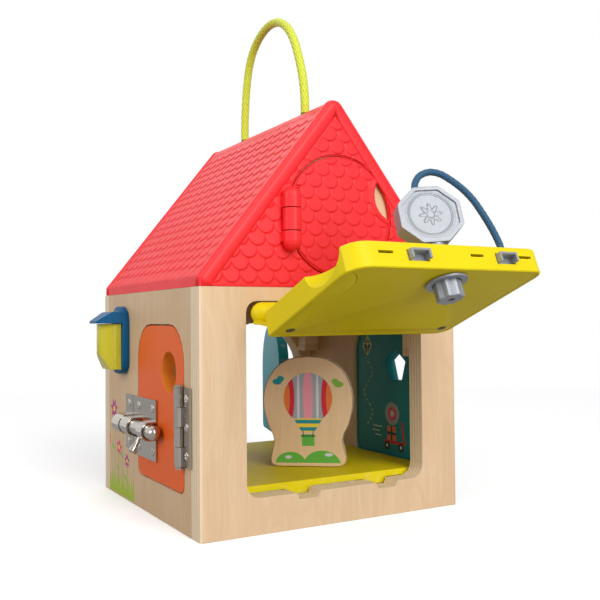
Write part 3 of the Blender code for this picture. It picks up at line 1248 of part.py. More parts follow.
def key_head(head_y, key_z):
    """Eight-sided head standing across the shaft, with an inset face on each side."""
    corners = []
    for k in range(KEY_HEAD_CORNERS):
        angle = KEY_HEAD_TURN + 2 * pi * k / KEY_HEAD_CORNERS
        corners.append((KEY_X + KEY_HEAD_RADIUS * KEY_HEAD_WIDEN * cos(angle),
                        head_y + KEY_HEAD_RADIUS * sin(angle), KEY_HEAD_EDGE * 2))
    outline = rounded(corners, 2)
    half = KEY_HEAD_THICKNESS / 2
    head = slab("head", [outline], "xy", key_z - half, key_z + half)
    soften(head, KEY_HEAD_EDGE)
    bpy.context.view_layer.update()
    head = bake(head)
    share = (KEY_HEAD_RADIUS - KEY_FACE_RIM) / KEY_HEAD_RADIUS
    face = [(KEY_X + (x - KEY_X) * share, head_y + (y - head_y) * share) for x, y in outline]
    for way in (-1, 1):
        low, high = sorted((key_z + way * (half - KEY_FACE_INSET), key_z + way * (half + OVERRUN)))
        cut(head, slab("face", [face], "xy", low, high))
    return head


# The tether's route, as (across the head, out from the outer face, along the housing
# from the key's axis towards the hinge), chosen by hand.
TETHER_POINTS = (
    (-0.0032, 0.0424, 0.0000), (-0.0029, 0.0462, 0.0000), (0.0010, 0.0516, -0.0004),
    (0.0075, 0.0536, -0.0008), (0.0135, 0.0518, -0.0010), (0.0190, 0.0472, -0.0010),
    (0.0250, 0.0405, -0.0006), (0.0296, 0.0330, -0.0002), (0.0330, 0.0250, 0.0006),
    (0.0362, 0.0165, 0.0018), (0.0386, 0.0085, 0.0030), (0.0394, 0.0040, 0.0034),
    (0.0394, 0.0008, 0.0034),
)


def tether(outer_y, key_z, pivot):
    """Cord from the head's top to a small post on the housing's outer face."""
    turn = KEY_REST_TURN
    route = []
    for across, out, along in TETHER_POINTS:
        x = KEY_X + across * cos(turn) + along * sin(turn)
        z = key_z - across * sin(turn) + along * cos(turn)
        route.append((x, outer_y - out, z))
    cord = tube("key_tether", smooth_route(route, 26), TETHER_RADIUS, 2)
    finish(cord, BLUE_CORD, pivot, radians(60))


def roof_section(inset):
    """Roof seen along Y: eaves, slopes and a rounded ridge, moved in by an inset."""
    half = HOUSE_WIDTH / 2 - ROOF_SIDE_INSET
    base = WALL_HEIGHT + GAP
    rise = ROOF_PEAK - base - ROOF_EAVE_LIP
    slope = atan2(rise, half)
    peak = ROOF_PEAK + ROOF_RIDGE_ROUND * (1 / cos(slope) - 1)
    peak_in = peak - inset / cos(slope)
    foot_x = half - inset
    foot_z = peak_in - foot_x * tan(slope)
    return foot_x, foot_z, peak_in, slope


def tile_courses(front, back, side):
    """What is cut from one slope between its verges: each course of tiles lies highest
    at its foot and runs down under the foot of the next one."""
    foot_x, foot_z, peak, slope = roof_section(0)
    length = foot_x / cos(slope)
    count = int((length - COURSE_FROM_EAVE - COURSE_FROM_RIDGE) / COURSE_PITCH)
    steps = [(COURSE_FROM_EAVE, -OVERRUN)]
    for course in range(count):
        foot = COURSE_FROM_EAVE + course * COURSE_PITCH
        steps += [(foot, COURSE_SINK), (foot + COURSE_PITCH, COURSE_SINK + COURSE_STEP)]
    steps.append((COURSE_FROM_EAVE + count * COURSE_PITCH, -OVERRUN))
    section = [(side * (foot_x - up * cos(slope) - deep * sin(slope)),
                foot_z + up * sin(slope) - deep * cos(slope)) for up, deep in steps]
    return slab("courses", [section], "xz", front + PANEL_BORDER, back - PANEL_BORDER)


def roof_set():
    """Red roof shell with recessed panels, the wooden gable panel behind its front, and
    the round attic door on a capsule hinge."""
    front = FRONT_Y + ROOF_FRONT_INSET
    back = BACK_Y - ROOF_FRONT_INSET
    base = WALL_HEIGHT + GAP
    foot_x, foot_z, peak, slope = roof_section(0)
    under = base - ROOF_WALL
    outline = rounded([(-foot_x, under, 0), (foot_x, under, 0), (foot_x, foot_z, ROOF_EAVE_LIP),
                       (0, peak, ROOF_RIDGE_ROUND), (-foot_x, foot_z, ROOF_EAVE_LIP)])
    roof = slab("roof", [outline], "xz", front, back)
    soften(roof, ROOF_VERGE_ROUND, 2, radians(60))
    bpy.context.view_layer.update()
    roof = bake(roof)
    for side in (-1, 1):
        cut(roof, tile_courses(front, back, side))
    big = HOUSE_WIDTH + HOUSE_DEPTH
    cut(roof, block("below", (-big, -big, -big), (big, big, base)))
    foot_x, foot_z, peak, slope = roof_section(ROOF_WALL)
    inner = [(-foot_x, base - OVERRUN), (foot_x, base - OVERRUN), (foot_x, foot_z), (0, peak),
             (-foot_x, foot_z)]
    cut(roof, slab("inside", [inner], "xz", front + GABLE_WALL, back - GABLE_WALL))
    foot_x, foot_z, peak, slope = roof_section(PANEL_BORDER)
    panel_base = base + ROOF_EAVE_LIP
    panel_foot = (peak - panel_base) / tan(slope)
    panel = [(-panel_foot, panel_base), (panel_foot, panel_base), (0, peak)]
    cut(roof, slab("front_panel", [panel], "xz", front - OVERRUN, front + PANEL_RECESS))
    cut(roof, slab("back_panel", [panel], "xz", back - PANEL_RECESS, back + OVERRUN))
    centre = (ATTIC_DOOR_X, ATTIC_DOOR_Z)
    hole = circle(centre, ATTIC_DOOR_RADIUS + ATTIC_DOOR_CLEARANCE, 40)
    cut(roof, slab("door_hole", [hole], "xz", front - OVERRUN, front + GABLE_WALL + OVERRUN))
    for distance in (ROPE_NEAR, ROPE_FAR):
        y = behind(distance)
        cut(roof, rod("rope_hole", (0, y, ROOF_PEAK - 2 * KNOT_LENGTH), (0, y, ROOF_PEAK + OVERRUN),
                      ROPE_RADIUS + 2 * GAP, SMALL_SIDES))
    attic_door_set(roof, front)
    finish(roof, RED_PLASTIC, None, radians(35))
    gable_panel(front)
    rope_set()


def gable_panel(front):
    """Wooden panel behind the front gable, with the attic's round opening."""
    foot_x, foot_z, peak, slope = roof_section(ROOF_WALL + ATTIC_PANEL_CLEARANCE)
    base = WALL_HEIGHT + GAP
    outline = [(-foot_x, base), (foot_x, base), (foot_x, foot_z), (0, peak), (-foot_x, foot_z)]
    hole = circle((ATTIC_DOOR_X, ATTIC_DOOR_Z), ATTIC_HOLE_RADIUS, 28)
    near = front + GABLE_WALL + GAP
    panel = slab("attic_panel", [outline, hole], "xz", near, near + ATTIC_PANEL_PLY)
    finish(panel, PLYWOOD)


def capsule_knuckle(name, axis_x, axis_y, low, high, dome_low, dome_high):
    """One knuckle of the capsule hinge, round at the capsule's ends."""
    start = Vector((axis_x, axis_y, low))
    end = Vector((axis_x, axis_y, high))
    if dome_high:
        return domed_rod(name, start, end, CAPSULE_RADIUS, 20)
    if dome_low:
        return domed_rod(name, end, start, CAPSULE_RADIUS, 20)
    return rod(name, start, end, CAPSULE_RADIUS, 20)


def attic_door_set(roof, front):
    """Disc with a crescent finger hole. The capsule's end knuckles belong to the roof
    and its middle one to the disc, which is slotted round the fixed ones."""
    axis_y = front - CAPSULE_PROUD
    half_gap = (RUNNING_GAP + GAP) / 2
    spans = {"low": (CAPSULE_FOOT, CAPSULE_SPLIT_LOW - half_gap, True, False),
             "middle": (CAPSULE_SPLIT_LOW + half_gap, CAPSULE_SPLIT_HIGH - half_gap, False, False),
             "high": (CAPSULE_SPLIT_HIGH + half_gap, CAPSULE_TOP, False, True)}
    cut(roof, rod("recess", (CAPSULE_X, axis_y, CAPSULE_SPLIT_LOW),
                  (CAPSULE_X, axis_y, CAPSULE_SPLIT_HIGH), CAPSULE_RADIUS + RUNNING_GAP))
    pivot = joint_pivot("attic_door_axis", (CAPSULE_X, axis_y, ATTIC_DOOR_Z))
    face_back = front + GABLE_WALL
    centre = (ATTIC_DOOR_X, ATTIC_DOOR_Z)
    disc = slab("attic_door", [circle(centre, ATTIC_DOOR_RADIUS, 40)], "xz", front, face_back)
    rim = slab("rim", [crescent_outline(CRESCENT_RIM)], "xz", front - CRESCENT_RIM_HEIGHT, front + GAP)
    bound = slab("bound", [circle(centre, ATTIC_DOOR_RADIUS - GAP, 40)], "xz",
                 front - CRESCENT_RIM_HEIGHT - OVERRUN, face_back)
    combine(rim, bound, "INTERSECT")
    join(disc, rim)
    cut(disc, slab("crescent", [crescent_outline(0)], "xz", front - OVERRUN, face_back + OVERRUN))
    slot_edge = CAPSULE_X + CAPSULE_SLOT_REACH
    for key in ("low", "high"):
        low, high, _, _ = spans[key]
        cut(disc, block("slot", (CAPSULE_X - CAPSULE_SLOT_REACH, front - OVERRUN, low - half_gap),
                        (slot_edge, face_back + OVERRUN, high + half_gap)))
    for key, (low, high, dome_low, dome_high) in spans.items():
        knuckle = capsule_knuckle("knuckle", CAPSULE_X, axis_y, low, high, dome_low, dome_high)
        if key == "middle":
            saddle = block("saddle", (CAPSULE_X - SADDLE_INSET, axis_y, low), (slot_edge, front + GAP, high))
            join(knuckle, saddle)
            join(disc, knuckle)
            cut(disc, rod("bore", (CAPSULE_X, axis_y, low - OVERRUN), (CAPSULE_X, axis_y, high + OVERRUN),
                          CAPSULE_PIN_RADIUS + RUNNING_GAP, SMALL_SIDES))
            continue
        hole_edge = ATTIC_DOOR_X - ATTIC_DOOR_RADIUS - ATTIC_DOOR_CLEARANCE
        saddle_low = low + (CAPSULE_RADIUS if dome_low else 0)
        saddle_high = high - (CAPSULE_RADIUS if dome_high else 0)
        saddle = block("saddle", (CAPSULE_X - CAPSULE_RADIUS, axis_y, saddle_low),
                       (CAPSULE_X, front + PANEL_RECESS + GAP, saddle_high))
        join(knuckle, saddle)
        cut(knuckle, block("trim", (hole_edge + GAP, front - GAP, low - OVERRUN),
                           (slot_edge + OVERRUN, face_back + OVERRUN, high + OVERRUN)))
        bore_low = low + CAPSULE_RADIUS if key == "low" else low - OVERRUN
        bore_high = high + OVERRUN if key == "low" else high - CAPSULE_RADIUS
        cut(knuckle, rod("bore", (CAPSULE_X, axis_y, bore_low), (CAPSULE_X, axis_y, bore_high),
                         CAPSULE_PIN_RADIUS + RUNNING_GAP, SMALL_SIDES))
        join(roof, knuckle)
    finish(disc, RED_PLASTIC, pivot, radians(35))
    pin = rod("attic_hinge_pin", (CAPSULE_X, axis_y, CAPSULE_FOOT + CAPSULE_RADIUS + GAP),
              (CAPSULE_X, axis_y, CAPSULE_TOP - CAPSULE_RADIUS - GAP), CAPSULE_PIN_RADIUS, SMALL_SIDES)
    finish(pin, NICKEL, None, radians(40))


def crescent_outline(grow):
    """Crescent at the disc's right edge: inside its own circle and the disc's rim."""
    outward = Vector((cos(CRESCENT_ANGLE), sin(CRESCENT_ANGLE)))
    reach = ATTIC_DOOR_RADIUS + CRESCENT_RADIUS - CRESCENT_REACH
    centre = Vector((ATTIC_DOOR_X, ATTIC_DOOR_Z)) + outward * reach
    radius = CRESCENT_RADIUS + grow
    return circle(centre, radius, 28)


# The rope's route over the ridge, as distances behind the front face and heights.
ROPE_POINTS = (
    (0.0425, 0.2818), (0.0425, 0.2900), (0.0446, 0.3060), (0.0500, 0.3230), (0.0580, 0.3400),
    (0.0690, 0.3530), (0.0820, 0.3605), (0.0967, 0.3624), (0.1110, 0.3590), (0.1230, 0.3515),
    (0.1315, 0.3400), (0.1365, 0.3240), (0.1395, 0.3050), (0.1405, 0.2900), (0.1405, 0.2818),
)


def rope_set():
    """Braided loop over the ridge, held by a knot under each hole."""
    route = [(0, behind(distance), height) for distance, height in ROPE_POINTS]
    rope = tube("rope_handle", smooth_route(route, 28), ROPE_RADIUS, 3)
    finish(rope, LIME_ROPE, None, radians(60))
    foot_x, foot_z, peak, slope = roof_section(ROOF_WALL)
    seat = peak - KNOT_RADIUS / cos(slope) - GAP
    for name, distance in (("rope_knot_front", ROPE_NEAR), ("rope_knot_back", ROPE_FAR)):
        y = behind(distance)
        top = ROPE_POINTS[0][1] - GAP
        steps = 5
        profile = [(0, top), (ROPE_RADIUS, top), (ROPE_RADIUS, seat)]
        profile += [(KNOT_RADIUS * sin(a), seat - KNOT_LENGTH / 2 + KNOT_LENGTH / 2 * cos(a))
                    for a in [pi * (k + 2) / (2 * steps) for k in range(2 * steps - 2)]]
        profile += [(0, seat - KNOT_LENGTH)]
        knot = turned(name, profile, (0, y, 0), (0, 0, 1), SMALL_SIDES)
        finish(knot, LIME_ROPE, None, radians(60))


def wall_lamp(left_wall):
    """Blue plate with a sloping hood over a hollow lime lens."""
    near = behind(LAMP_NEAR)
    far = near + LAMP_WIDTH
    middle = (near + far) / 2
    face = LEFT_X - GAP
    outline = box_outline(near, far, LAMP_FOOT, LAMP_TOP,
                          (LAMP_FOOT_ROUND, LAMP_FOOT_ROUND, LAMP_TOP_ROUND, LAMP_TOP_ROUND))
    bracket = slab("lamp_bracket", [outline], "yz", face - LAMP_PLATE, face)
    soften(bracket, LAMP_PLATE / 3, 2)
    bpy.context.view_layer.update()
    bracket = bake(bracket)
    half = LAMP_HOOD_WIDTH / 2
    hood_face = face - LAMP_HOOD_DEPTH
    side = [(face - LAMP_PLATE / 2, LAMP_HOOD_TOP), (face - LAMP_HOOD_FLAT, LAMP_HOOD_TOP),
            (hood_face, LAMP_HOOD_TIP + LAMP_HOOD_LIP / 2), (hood_face, LAMP_HOOD_TIP - LAMP_HOOD_LIP / 2),
            (face - LAMP_PLATE / 2, LAMP_HOOD_TIP - LAMP_HOOD_LIP / 2)]
    hood = slab("hood", [side], "xz", middle - half, middle + half)
    taper = [(face - LAMP_PLATE / 2 + OVERRUN, near - OVERRUN),
             (face - LAMP_PLATE / 2 + OVERRUN, far + OVERRUN),
             (face - LAMP_HOOD_FLAT, middle + half), (hood_face - OVERRUN, middle + half * 0.62),
             (hood_face - OVERRUN, middle - half * 0.62), (face - LAMP_HOOD_FLAT, middle - half)]
    combine(hood, slab("taper", [taper], "xy", LAMP_FOOT, LAMP_TOP), "INTERSECT")
    join(bracket, hood)
    finish(bracket, BLUE_PLASTIC, None, radians(40))

    lens_face = face - LAMP_PLATE - GAP
    plan = [(lens_face, middle - LENS_RADIUS), (lens_face, middle + LENS_RADIUS)]
    centre_x = lens_face - (LENS_DEPTH - LAMP_PLATE - LENS_RADIUS)
    plan += arc((centre_x, middle), LENS_RADIUS, pi / 2, 3 * pi / 2, 10)
    top = LAMP_HOOD_TIP - LAMP_HOOD_LIP / 2 - GAP
    lens = slab("lamp_lens", [plan], "xy", LENS_FOOT, top)
    front_x = centre_x - LENS_RADIUS
    slant = [(front_x - OVERRUN, LENS_FOOT - OVERRUN), (front_x - OVERRUN, LENS_FOOT + LENS_SLANT_HEIGHT),
             (front_x, LENS_FOOT + LENS_SLANT_HEIGHT), (front_x + LENS_SLANT_DEPTH, LENS_FOOT),
             (front_x + LENS_SLANT_DEPTH, LENS_FOOT - OVERRUN)]
    cut(lens, slab("slant", [slant], "xz", near, far))
    core = [(lens_face + OVERRUN, middle - LENS_RADIUS + LENS_WALL),
            (lens_face + OVERRUN, middle + LENS_RADIUS - LENS_WALL)]
    core += arc((centre_x, middle), LENS_RADIUS - LENS_WALL, pi / 2, 3 * pi / 2, 10)
    hollow = slab("hollow", [core], "xy", LENS_FOOT + LENS_WALL, top - LENS_WALL)
    shift = LENS_WALL * 1.2
    inner_slant = [(x + shift, z + shift) for x, z in slant]
    cut(hollow, slab("inner_slant", [inner_slant], "xz", near, far))
    cut(lens, hollow)
    finish(lens, LIME_LENS, None, radians(40))


def figurine():
    """Pear-shaped plywood figure with a rounded foot, turned towards the window."""
    head = FIGURINE_HEAD_WIDTH / 2
    waist = FIGURINE_WAIST_WIDTH / 2
    foot = FIGURINE_FOOT_WIDTH / 2
    right = [(foot * 0.82, 0), (foot * 0.97, FIGURINE_WAIST_HEIGHT * 0.10),
             (foot, FIGURINE_WAIST_HEIGHT * 0.28),
             (foot * 0.96, FIGURINE_WAIST_HEIGHT * 0.62), (waist, FIGURINE_WAIST_HEIGHT),
             (waist * 1.04, FIGURINE_WAIST_HEIGHT * 1.25), (waist * 1.18, FIGURINE_WAIST_HEIGHT * 1.62)]
    low_radius = FIGURINE_HEAD_HEIGHT - FIGURINE_WAIST_HEIGHT * 0.9
    high_radius = FIGURINE_HEIGHT - FIGURINE_HEAD_HEIGHT
    steps = 10
    for k in range(steps + 1):
        angle = radians(-20) + radians(110) * k / steps
        tall = high_radius if angle > 0 else low_radius
        wide = head * max(cos(angle), 0) ** 0.8
        right.append((wide, FIGURINE_HEAD_HEIGHT + tall * sin(angle)))
    right[-1] = (0, FIGURINE_HEIGHT)
    left = [(-x, z) for x, z in reversed(right[:-1])]
    outline = [(x, z + FLOOR_TOP + GAP) for x, z in right + left]
    figure = slab("figurine", [outline], "xz", 0, FIGURINE_THICKNESS)
    soften(figure, FIGURINE_EDGE_ROUND)
    bpy.context.view_layer.update()
    figure = bake(figure)
    turn = Matrix.Rotation(FIGURINE_TURN, 4, "Z")
    figure.data.transform(Matrix.Translation((FIGURINE_X, behind(FIGURINE_NEAR), 0)) @ turn)
    finish(figure, PLYWOOD, None, radians(40))


def build_house():
    front, back, left, right = plywood_walls()
    floors_and_blocks()
    left_door_set(left)
    right_door_set(right)
    back_door_set(back)
    front_door_set(front)
    roof_set()
    wall_lamp(left)
    figurine()
    for wall in (front, back, left, right):
        finish(wall, PLYWOOD)
    bpy.context.view_layer.update()


build_house()
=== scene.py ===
"""Looks of the wooden lock house toy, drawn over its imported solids. Metres, +Z up."""

import json
from math import cos, pi, radians, sin

import bmesh
import bpy
import numpy as np
from mathutils import Matrix, Vector

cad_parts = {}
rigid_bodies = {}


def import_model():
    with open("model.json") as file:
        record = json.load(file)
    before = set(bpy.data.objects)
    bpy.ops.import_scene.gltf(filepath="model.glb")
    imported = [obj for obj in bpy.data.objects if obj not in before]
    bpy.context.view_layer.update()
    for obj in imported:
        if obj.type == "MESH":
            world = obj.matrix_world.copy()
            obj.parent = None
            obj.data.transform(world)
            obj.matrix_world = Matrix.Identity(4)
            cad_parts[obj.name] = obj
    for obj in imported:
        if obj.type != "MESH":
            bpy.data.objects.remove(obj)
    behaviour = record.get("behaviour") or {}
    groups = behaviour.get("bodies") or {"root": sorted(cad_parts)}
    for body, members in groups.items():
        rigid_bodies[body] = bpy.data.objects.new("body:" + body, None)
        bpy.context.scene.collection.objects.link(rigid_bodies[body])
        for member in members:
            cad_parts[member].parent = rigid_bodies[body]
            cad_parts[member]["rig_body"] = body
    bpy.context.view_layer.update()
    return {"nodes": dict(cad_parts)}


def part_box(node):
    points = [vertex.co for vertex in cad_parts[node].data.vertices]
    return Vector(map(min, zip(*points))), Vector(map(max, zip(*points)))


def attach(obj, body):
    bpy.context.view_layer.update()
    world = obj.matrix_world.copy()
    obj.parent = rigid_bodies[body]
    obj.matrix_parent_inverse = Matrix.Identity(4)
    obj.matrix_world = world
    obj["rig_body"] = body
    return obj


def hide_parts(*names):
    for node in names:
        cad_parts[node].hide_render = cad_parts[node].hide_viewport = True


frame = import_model()
NODES = frame["nodes"]


# ------ shader maths

def arithmetic(operation, swapped=False):
    """A method of Socket that adds a Math node behind its values."""
    def method(*values):
        inputs = dict(enumerate(values[::-1] if swapped else values))
        return values[0].graph.node("Math", inputs, operation=operation)
    return method


class Socket:
    """A node's output, with the arithmetic that can follow it."""

    def __init__(self, graph, link):
        self.graph = graph
        self.link = link

    __add__ = arithmetic("ADD")
    __sub__ = arithmetic("SUBTRACT")
    __rsub__ = arithmetic("SUBTRACT", True)
    __mul__ = arithmetic("MULTIPLY")
    above = arithmetic("GREATER_THAN")
    below = arithmetic("LESS_THAN")
    most = arithmetic("MAXIMUM")
    size = arithmetic("ABSOLUTE")
    sine = arithmetic("SINE")
    angle = arithmetic("ARCTAN2")
    fraction = arithmetic("FRACT")
    root = arithmetic("SQRT")

    def step(self, low, high, start=0.0):
        """The start value below low, 1 above high, smooth between."""
        inputs = {"Value": self, "From Min": low, "From Max": high, "To Min": start}
        return self.graph.node("MapRange", inputs, interpolation_type="SMOOTHSTEP")


class Graph:
    """The node tree of a material or world, with its shader and the place shaded."""

    def __init__(self, owner, shader="Principled BSDF", space="Object"):
        owner.use_nodes = True
        self.owner = owner
        self.tree = owner.node_tree
        self.shader = self.tree.nodes[shader]
        self.place = self.node("TexCoord", {}, space)
        self.parts = self.split(self.place)

    def plug(self, target, value):
        """Link a socket to an input, or set the input to a plain value."""
        if isinstance(value, Socket):
            self.tree.links.new(value.link, target)
        else:
            target.default_value = value

    def node(self, kind, values, output=0, **settings):
        """Add a node: settings first, then the values or links of its sockets."""
        made = self.tree.nodes.new("ShaderNode" + kind)
        for name, value in settings.items():
            setattr(made, name, value)
        for name, value in values.items():
            self.plug(made.inputs[name], value)
        return Socket(self, made.outputs[output])

    def split(self, vector):
        parts = self.node("SeparateXYZ", {0: vector}).link.node.outputs
        return [Socket(self, part) for part in parts]

    def vector(self, operation, first, second, output=0):
        return self.node("VectorMath", {0: first, 1: second}, output, operation=operation)

    def along(self, vector, direction):
        return self.vector("DOT_PRODUCT", vector, direction, "Value")

    def facing(self, direction):
        """How far the surface looks along a direction of the piece's own frame."""
        return self.along(self.node("TexCoord", {}, "Normal"), direction)

    def noise(self, scale, detail=2.0, roughness=0.5, stretch=None, vector=None):
        """Noise of the place, or of another vector, drawn out where stretch is small."""
        vector = vector or self.place
        if stretch:
            vector = self.vector("MULTIPLY", vector, stretch)
        return self.node("TexNoise", dict(Vector=vector, Scale=scale, Detail=detail,
                                          Roughness=roughness))

    def mix(self, share, first, second):
        return self.node("Mix", {0: share, 6: first, 7: second}, 2, data_type="RGBA")

    def shade(self, colour, level):
        """The colour times a level, as light and dark of the same colour."""
        colour = colour if isinstance(colour, Socket) else colour[:3]
        return self.node("VectorMath", {0: colour, "Scale": level}, operation="SCALE")

    def seen(self, share):
        """1 for the camera's rays, and a share for rays off a mirror or through glass."""
        glossy, transmitted, camera = (self.node("LightPath", {}, f"Is {kind} Ray")
                                       for kind in ("Glossy", "Transmission", "Camera"))
        return (glossy.most(transmitted) * share).most(camera)

    def finish(self, colour, roughness, height=None, distance=0.0, **others):
        """Feed the shader and return its owner. Names of other inputs have _ for a space."""
        inputs = {"Base Color": colour, "Roughness": roughness}
        if height:
            inputs["Normal"] = self.node("Bump", {"Height": height, "Distance": distance})
        inputs.update((name.replace("_", " "), value) for name, value in others.items())
        for name, value in inputs.items():
            self.plug(self.shader.inputs[name], value)
        return self.owner


def new_graph(name):
    return Graph(bpy.data.materials.new(name))


def linked(name, data):
    """A new object in the scene."""
    made = bpy.data.objects.new(name, data)
    bpy.context.scene.collection.objects.link(made)
    return made


def rgb(red, green, blue):
    """Linear colour of three display levels from 0 to 255."""
    shares = [level / 255 for level in (red, green, blue)]
    return (*[s / 12.92 if s <= 0.04045 else ((s + 0.055) / 1.055) ** 2.4 for s in shares], 1.0)


# ------ camera, floor, light

IMAGE_WIDTH = 600
FOCAL_PIXELS = 807.2
SENSOR = 36.0
CAMERA_PLACE = Vector((-0.2898, -0.4605, 0.1338))
CAMERA_YAW = radians(29.83)
CAMERA_PITCH = radians(1.44)
CAMERA_ROLL = radians(-0.48)
WHITE = (1.0, 1.0, 1.0, 1.0)
# The sky's light by height, from straight below to straight above.
SKY = ((0.0, 0.12), (0.47, 0.2), (0.56, 0.46), (1.0, 0.46))
ROOM_LEVEL = 0.18
FLOOR_RADIUS = 2.0
FLOOR_SIDES = 64
FLOOR_Z = -0.0002
FLOOR_GLOW = 0.24
FLOOR_IN_MIRRORS = 0.25
TARGET = Vector((0.0, 0.05, 0.12))


def set_camera():
    """Camera turned right of +Y by the yaw, up by the pitch, and rolled."""
    data = bpy.data.cameras.new("camera")
    data.sensor_width = SENSOR
    data.lens = FOCAL_PIXELS / IMAGE_WIDTH * SENSOR
    data.clip_start = 0.01
    camera = linked("camera", data)
    camera.matrix_world = (Matrix.Translation(CAMERA_PLACE)
                           @ Matrix.Rotation(-CAMERA_YAW, 4, "Z")
                           @ Matrix.Rotation(pi / 2 + CAMERA_PITCH, 4, "X")
                           @ Matrix.Rotation(CAMERA_ROLL, 4, "Z"))
    bpy.context.scene.camera = camera


def set_world():
    """White past the toy for the camera, a mirror and glass, and a soft sky for its light.
    What a mirror sees in front of the toy is the dim room where the camera stands."""
    world = bpy.data.worlds.new("studio")
    bpy.context.scene.world = world
    graph = Graph(world, "Background", "Generated")
    sky = graph.node("ValToRGB", {0: graph.parts[2] * 0.5 + 0.5})
    elements = sky.link.node.color_ramp.elements
    while len(elements) < len(SKY):
        elements.new(1.0)
    for element, (position, level) in zip(elements, SKY):
        element.position = position
        element.color = (level, level, level, 1.0)
    behind = graph.parts[1].step(-0.25, 0.55, ROOM_LEVEL)
    graph.plug(graph.shader.inputs["Color"], graph.mix(graph.seen(behind), sky, WHITE))


def add_lamp(name, place, size, power):
    """Square lamp that looks at the target."""
    data = bpy.data.lights.new(name, "AREA")
    data.size = size
    data.energy = power
    lamp = linked(name, data)
    lamp.location = place
    lamp.rotation_euler = (TARGET - Vector(place)).to_track_quat("-Z", "Y").to_euler()


def set_stage():
    """A round pale floor that thins out into the white around it. Only the camera sees
    it pale: what it throws back at the toy is dim, as from a table in a dark room."""
    mesh = bpy.data.meshes.new("studio_floor")
    angles = np.linspace(0, 2 * pi, FLOOR_SIDES, endpoint=False)
    ring = np.column_stack([FLOOR_RADIUS * np.cos(angles), FLOOR_RADIUS * np.sin(angles),
                            0 * angles + FLOOR_Z])
    mesh.from_pydata(ring.tolist(), [], [list(range(FLOOR_SIDES))])
    floor = linked("studio_floor", mesh)
    graph = new_graph("studio_floor")
    x, y, _ = graph.parts
    away = (x * x + y * y).root()
    mesh.materials.append(graph.finish(
        graph.mix(graph.noise(3.0), rgb(244, 244, 245), rgb(247, 247, 247)), 0.9,
        Specular_IOR_Level=0.1, Emission_Color=WHITE, Emission_Strength=FLOOR_GLOW,
        Alpha=1.0 - away.step(0.45, 1.3)))
    dull = graph.node("BsdfDiffuse", {"Color": (0.3, 0.3, 0.3, 1.0)})
    either = graph.node("MixShader", {0: graph.seen(FLOOR_IN_MIRRORS), 1: dull,
                                      2: Socket(graph, graph.shader.outputs[0])})
    graph.plug(graph.tree.nodes["Material Output"].inputs["Surface"], either)


set_camera()
set_world()
set_stage()
bpy.context.scene.view_settings.view_transform = "Standard"
add_lamp("key", (0.0, -1.5, 1.15), 1.1, 22.0)
add_lamp("low", (0.15, -1.7, 0.3), 0.8, 8.0)
add_lamp("fill", (-1.9, -0.2, 0.9), 1.2, 16.5)
add_lamp("top", (0.3, 1.5, 1.6), 1.0, 5.0)


# ------ meshes

def add_object(name, points, faces, material, body, slot, flat_from=None, replaces=()):
    """Link one closed piece. Faces from flat_from on are shaded flat."""
    mesh = bpy.data.meshes.new(name)
    mesh.from_pydata(np.asarray(points, float).tolist(), [], faces)
    smooth = np.ones(len(faces), bool)
    if flat_from is not None:
        smooth[flat_from:] = False
    mesh.polygons.foreach_set("use_smooth", smooth)
    mesh.materials.append(material)
    mesh.update()
    piece = linked(name, mesh)
    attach(piece, body)
    if replaces:
        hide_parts(*replaces)
    return piece


TURNED = [0, 3, 2, 1]


def corners(grid):
    """The four corners of each cell of a grid, in turn. TURNED takes them the other way."""
    return np.stack([grid[:-1, :-1], grid[1:, :-1], grid[1:, 1:], grid[:-1, 1:]], -1)


def snapped(u, v, outline):
    """Grid points just outside an outline, moved onto it against its steepest climb."""
    reach = 2e-5
    for _ in range(3):
        climb_u = (outline(u + reach, v) - outline(u - reach, v)) / (2 * reach)
        climb_v = (outline(u, v + reach) - outline(u, v - reach)) / (2 * reach)
        length = np.maximum(np.hypot(climb_u, climb_v), 0.5)
        outside = np.maximum(outline(u, v), 0) / length
        u = u - outside * climb_u / length
        v = v - outside * climb_v / length
    return u, v


def relief(origin, across, up, spans, spacing, height, outline=None, sink=0.0002):
    """Closed skin over a plane: a grid whose points stand off the plane by
    height(u, v), with a back that lies sink below the plane. outline(u, v) is the
    distance outside the skin's edge, negative inside. Returns points, faces and the
    number of the faces on top."""
    origin, across, up = (np.array(p, float) for p in (origin, across, up))
    normal = np.cross(across, up)
    u, v = np.meshgrid(*[np.linspace(low, high, int(round((high - low) / spacing)) + 1)
                         for low, high in spans], indexing="ij")
    kept = np.ones(u.shape, bool)
    if outline is not None:
        kept = outline(u, v) < spacing * 0.5
        u, v = snapped(u, v, outline)
    index = np.arange(u.size).reshape(u.shape)
    top = corners(index)[corners(kept).all(axis=-1)]
    used, packed = np.unique(top, return_inverse=True)
    top = packed.reshape(top.shape)
    count = len(used)
    u, v = u.ravel()[used], v.ravel()[used]
    flat = origin + np.outer(u, across) + np.outer(v, up)
    points = np.vstack([flat + np.outer(height(u, v), normal), flat - sink * normal])
    starts = top.ravel()
    ends = np.roll(top, -1, axis=1).ravel()
    forward = starts * count + ends
    border = ~np.isin(forward, ends * count + starts)
    a, b = starts[border], ends[border]
    sides = np.column_stack([b, a, a + count, b + count])
    if outline is None:
        follow = dict(zip((a + count).tolist(), (b + count).tolist()))
        loop = [int(a[0]) + count]
        while len(loop) < len(a):
            loop.append(follow[loop[-1]])
        back = [loop[::-1]]
    else:
        back = (top[:, ::-1] + count).tolist()
    return points, top.tolist() + sides.tolist() + back, len(top)


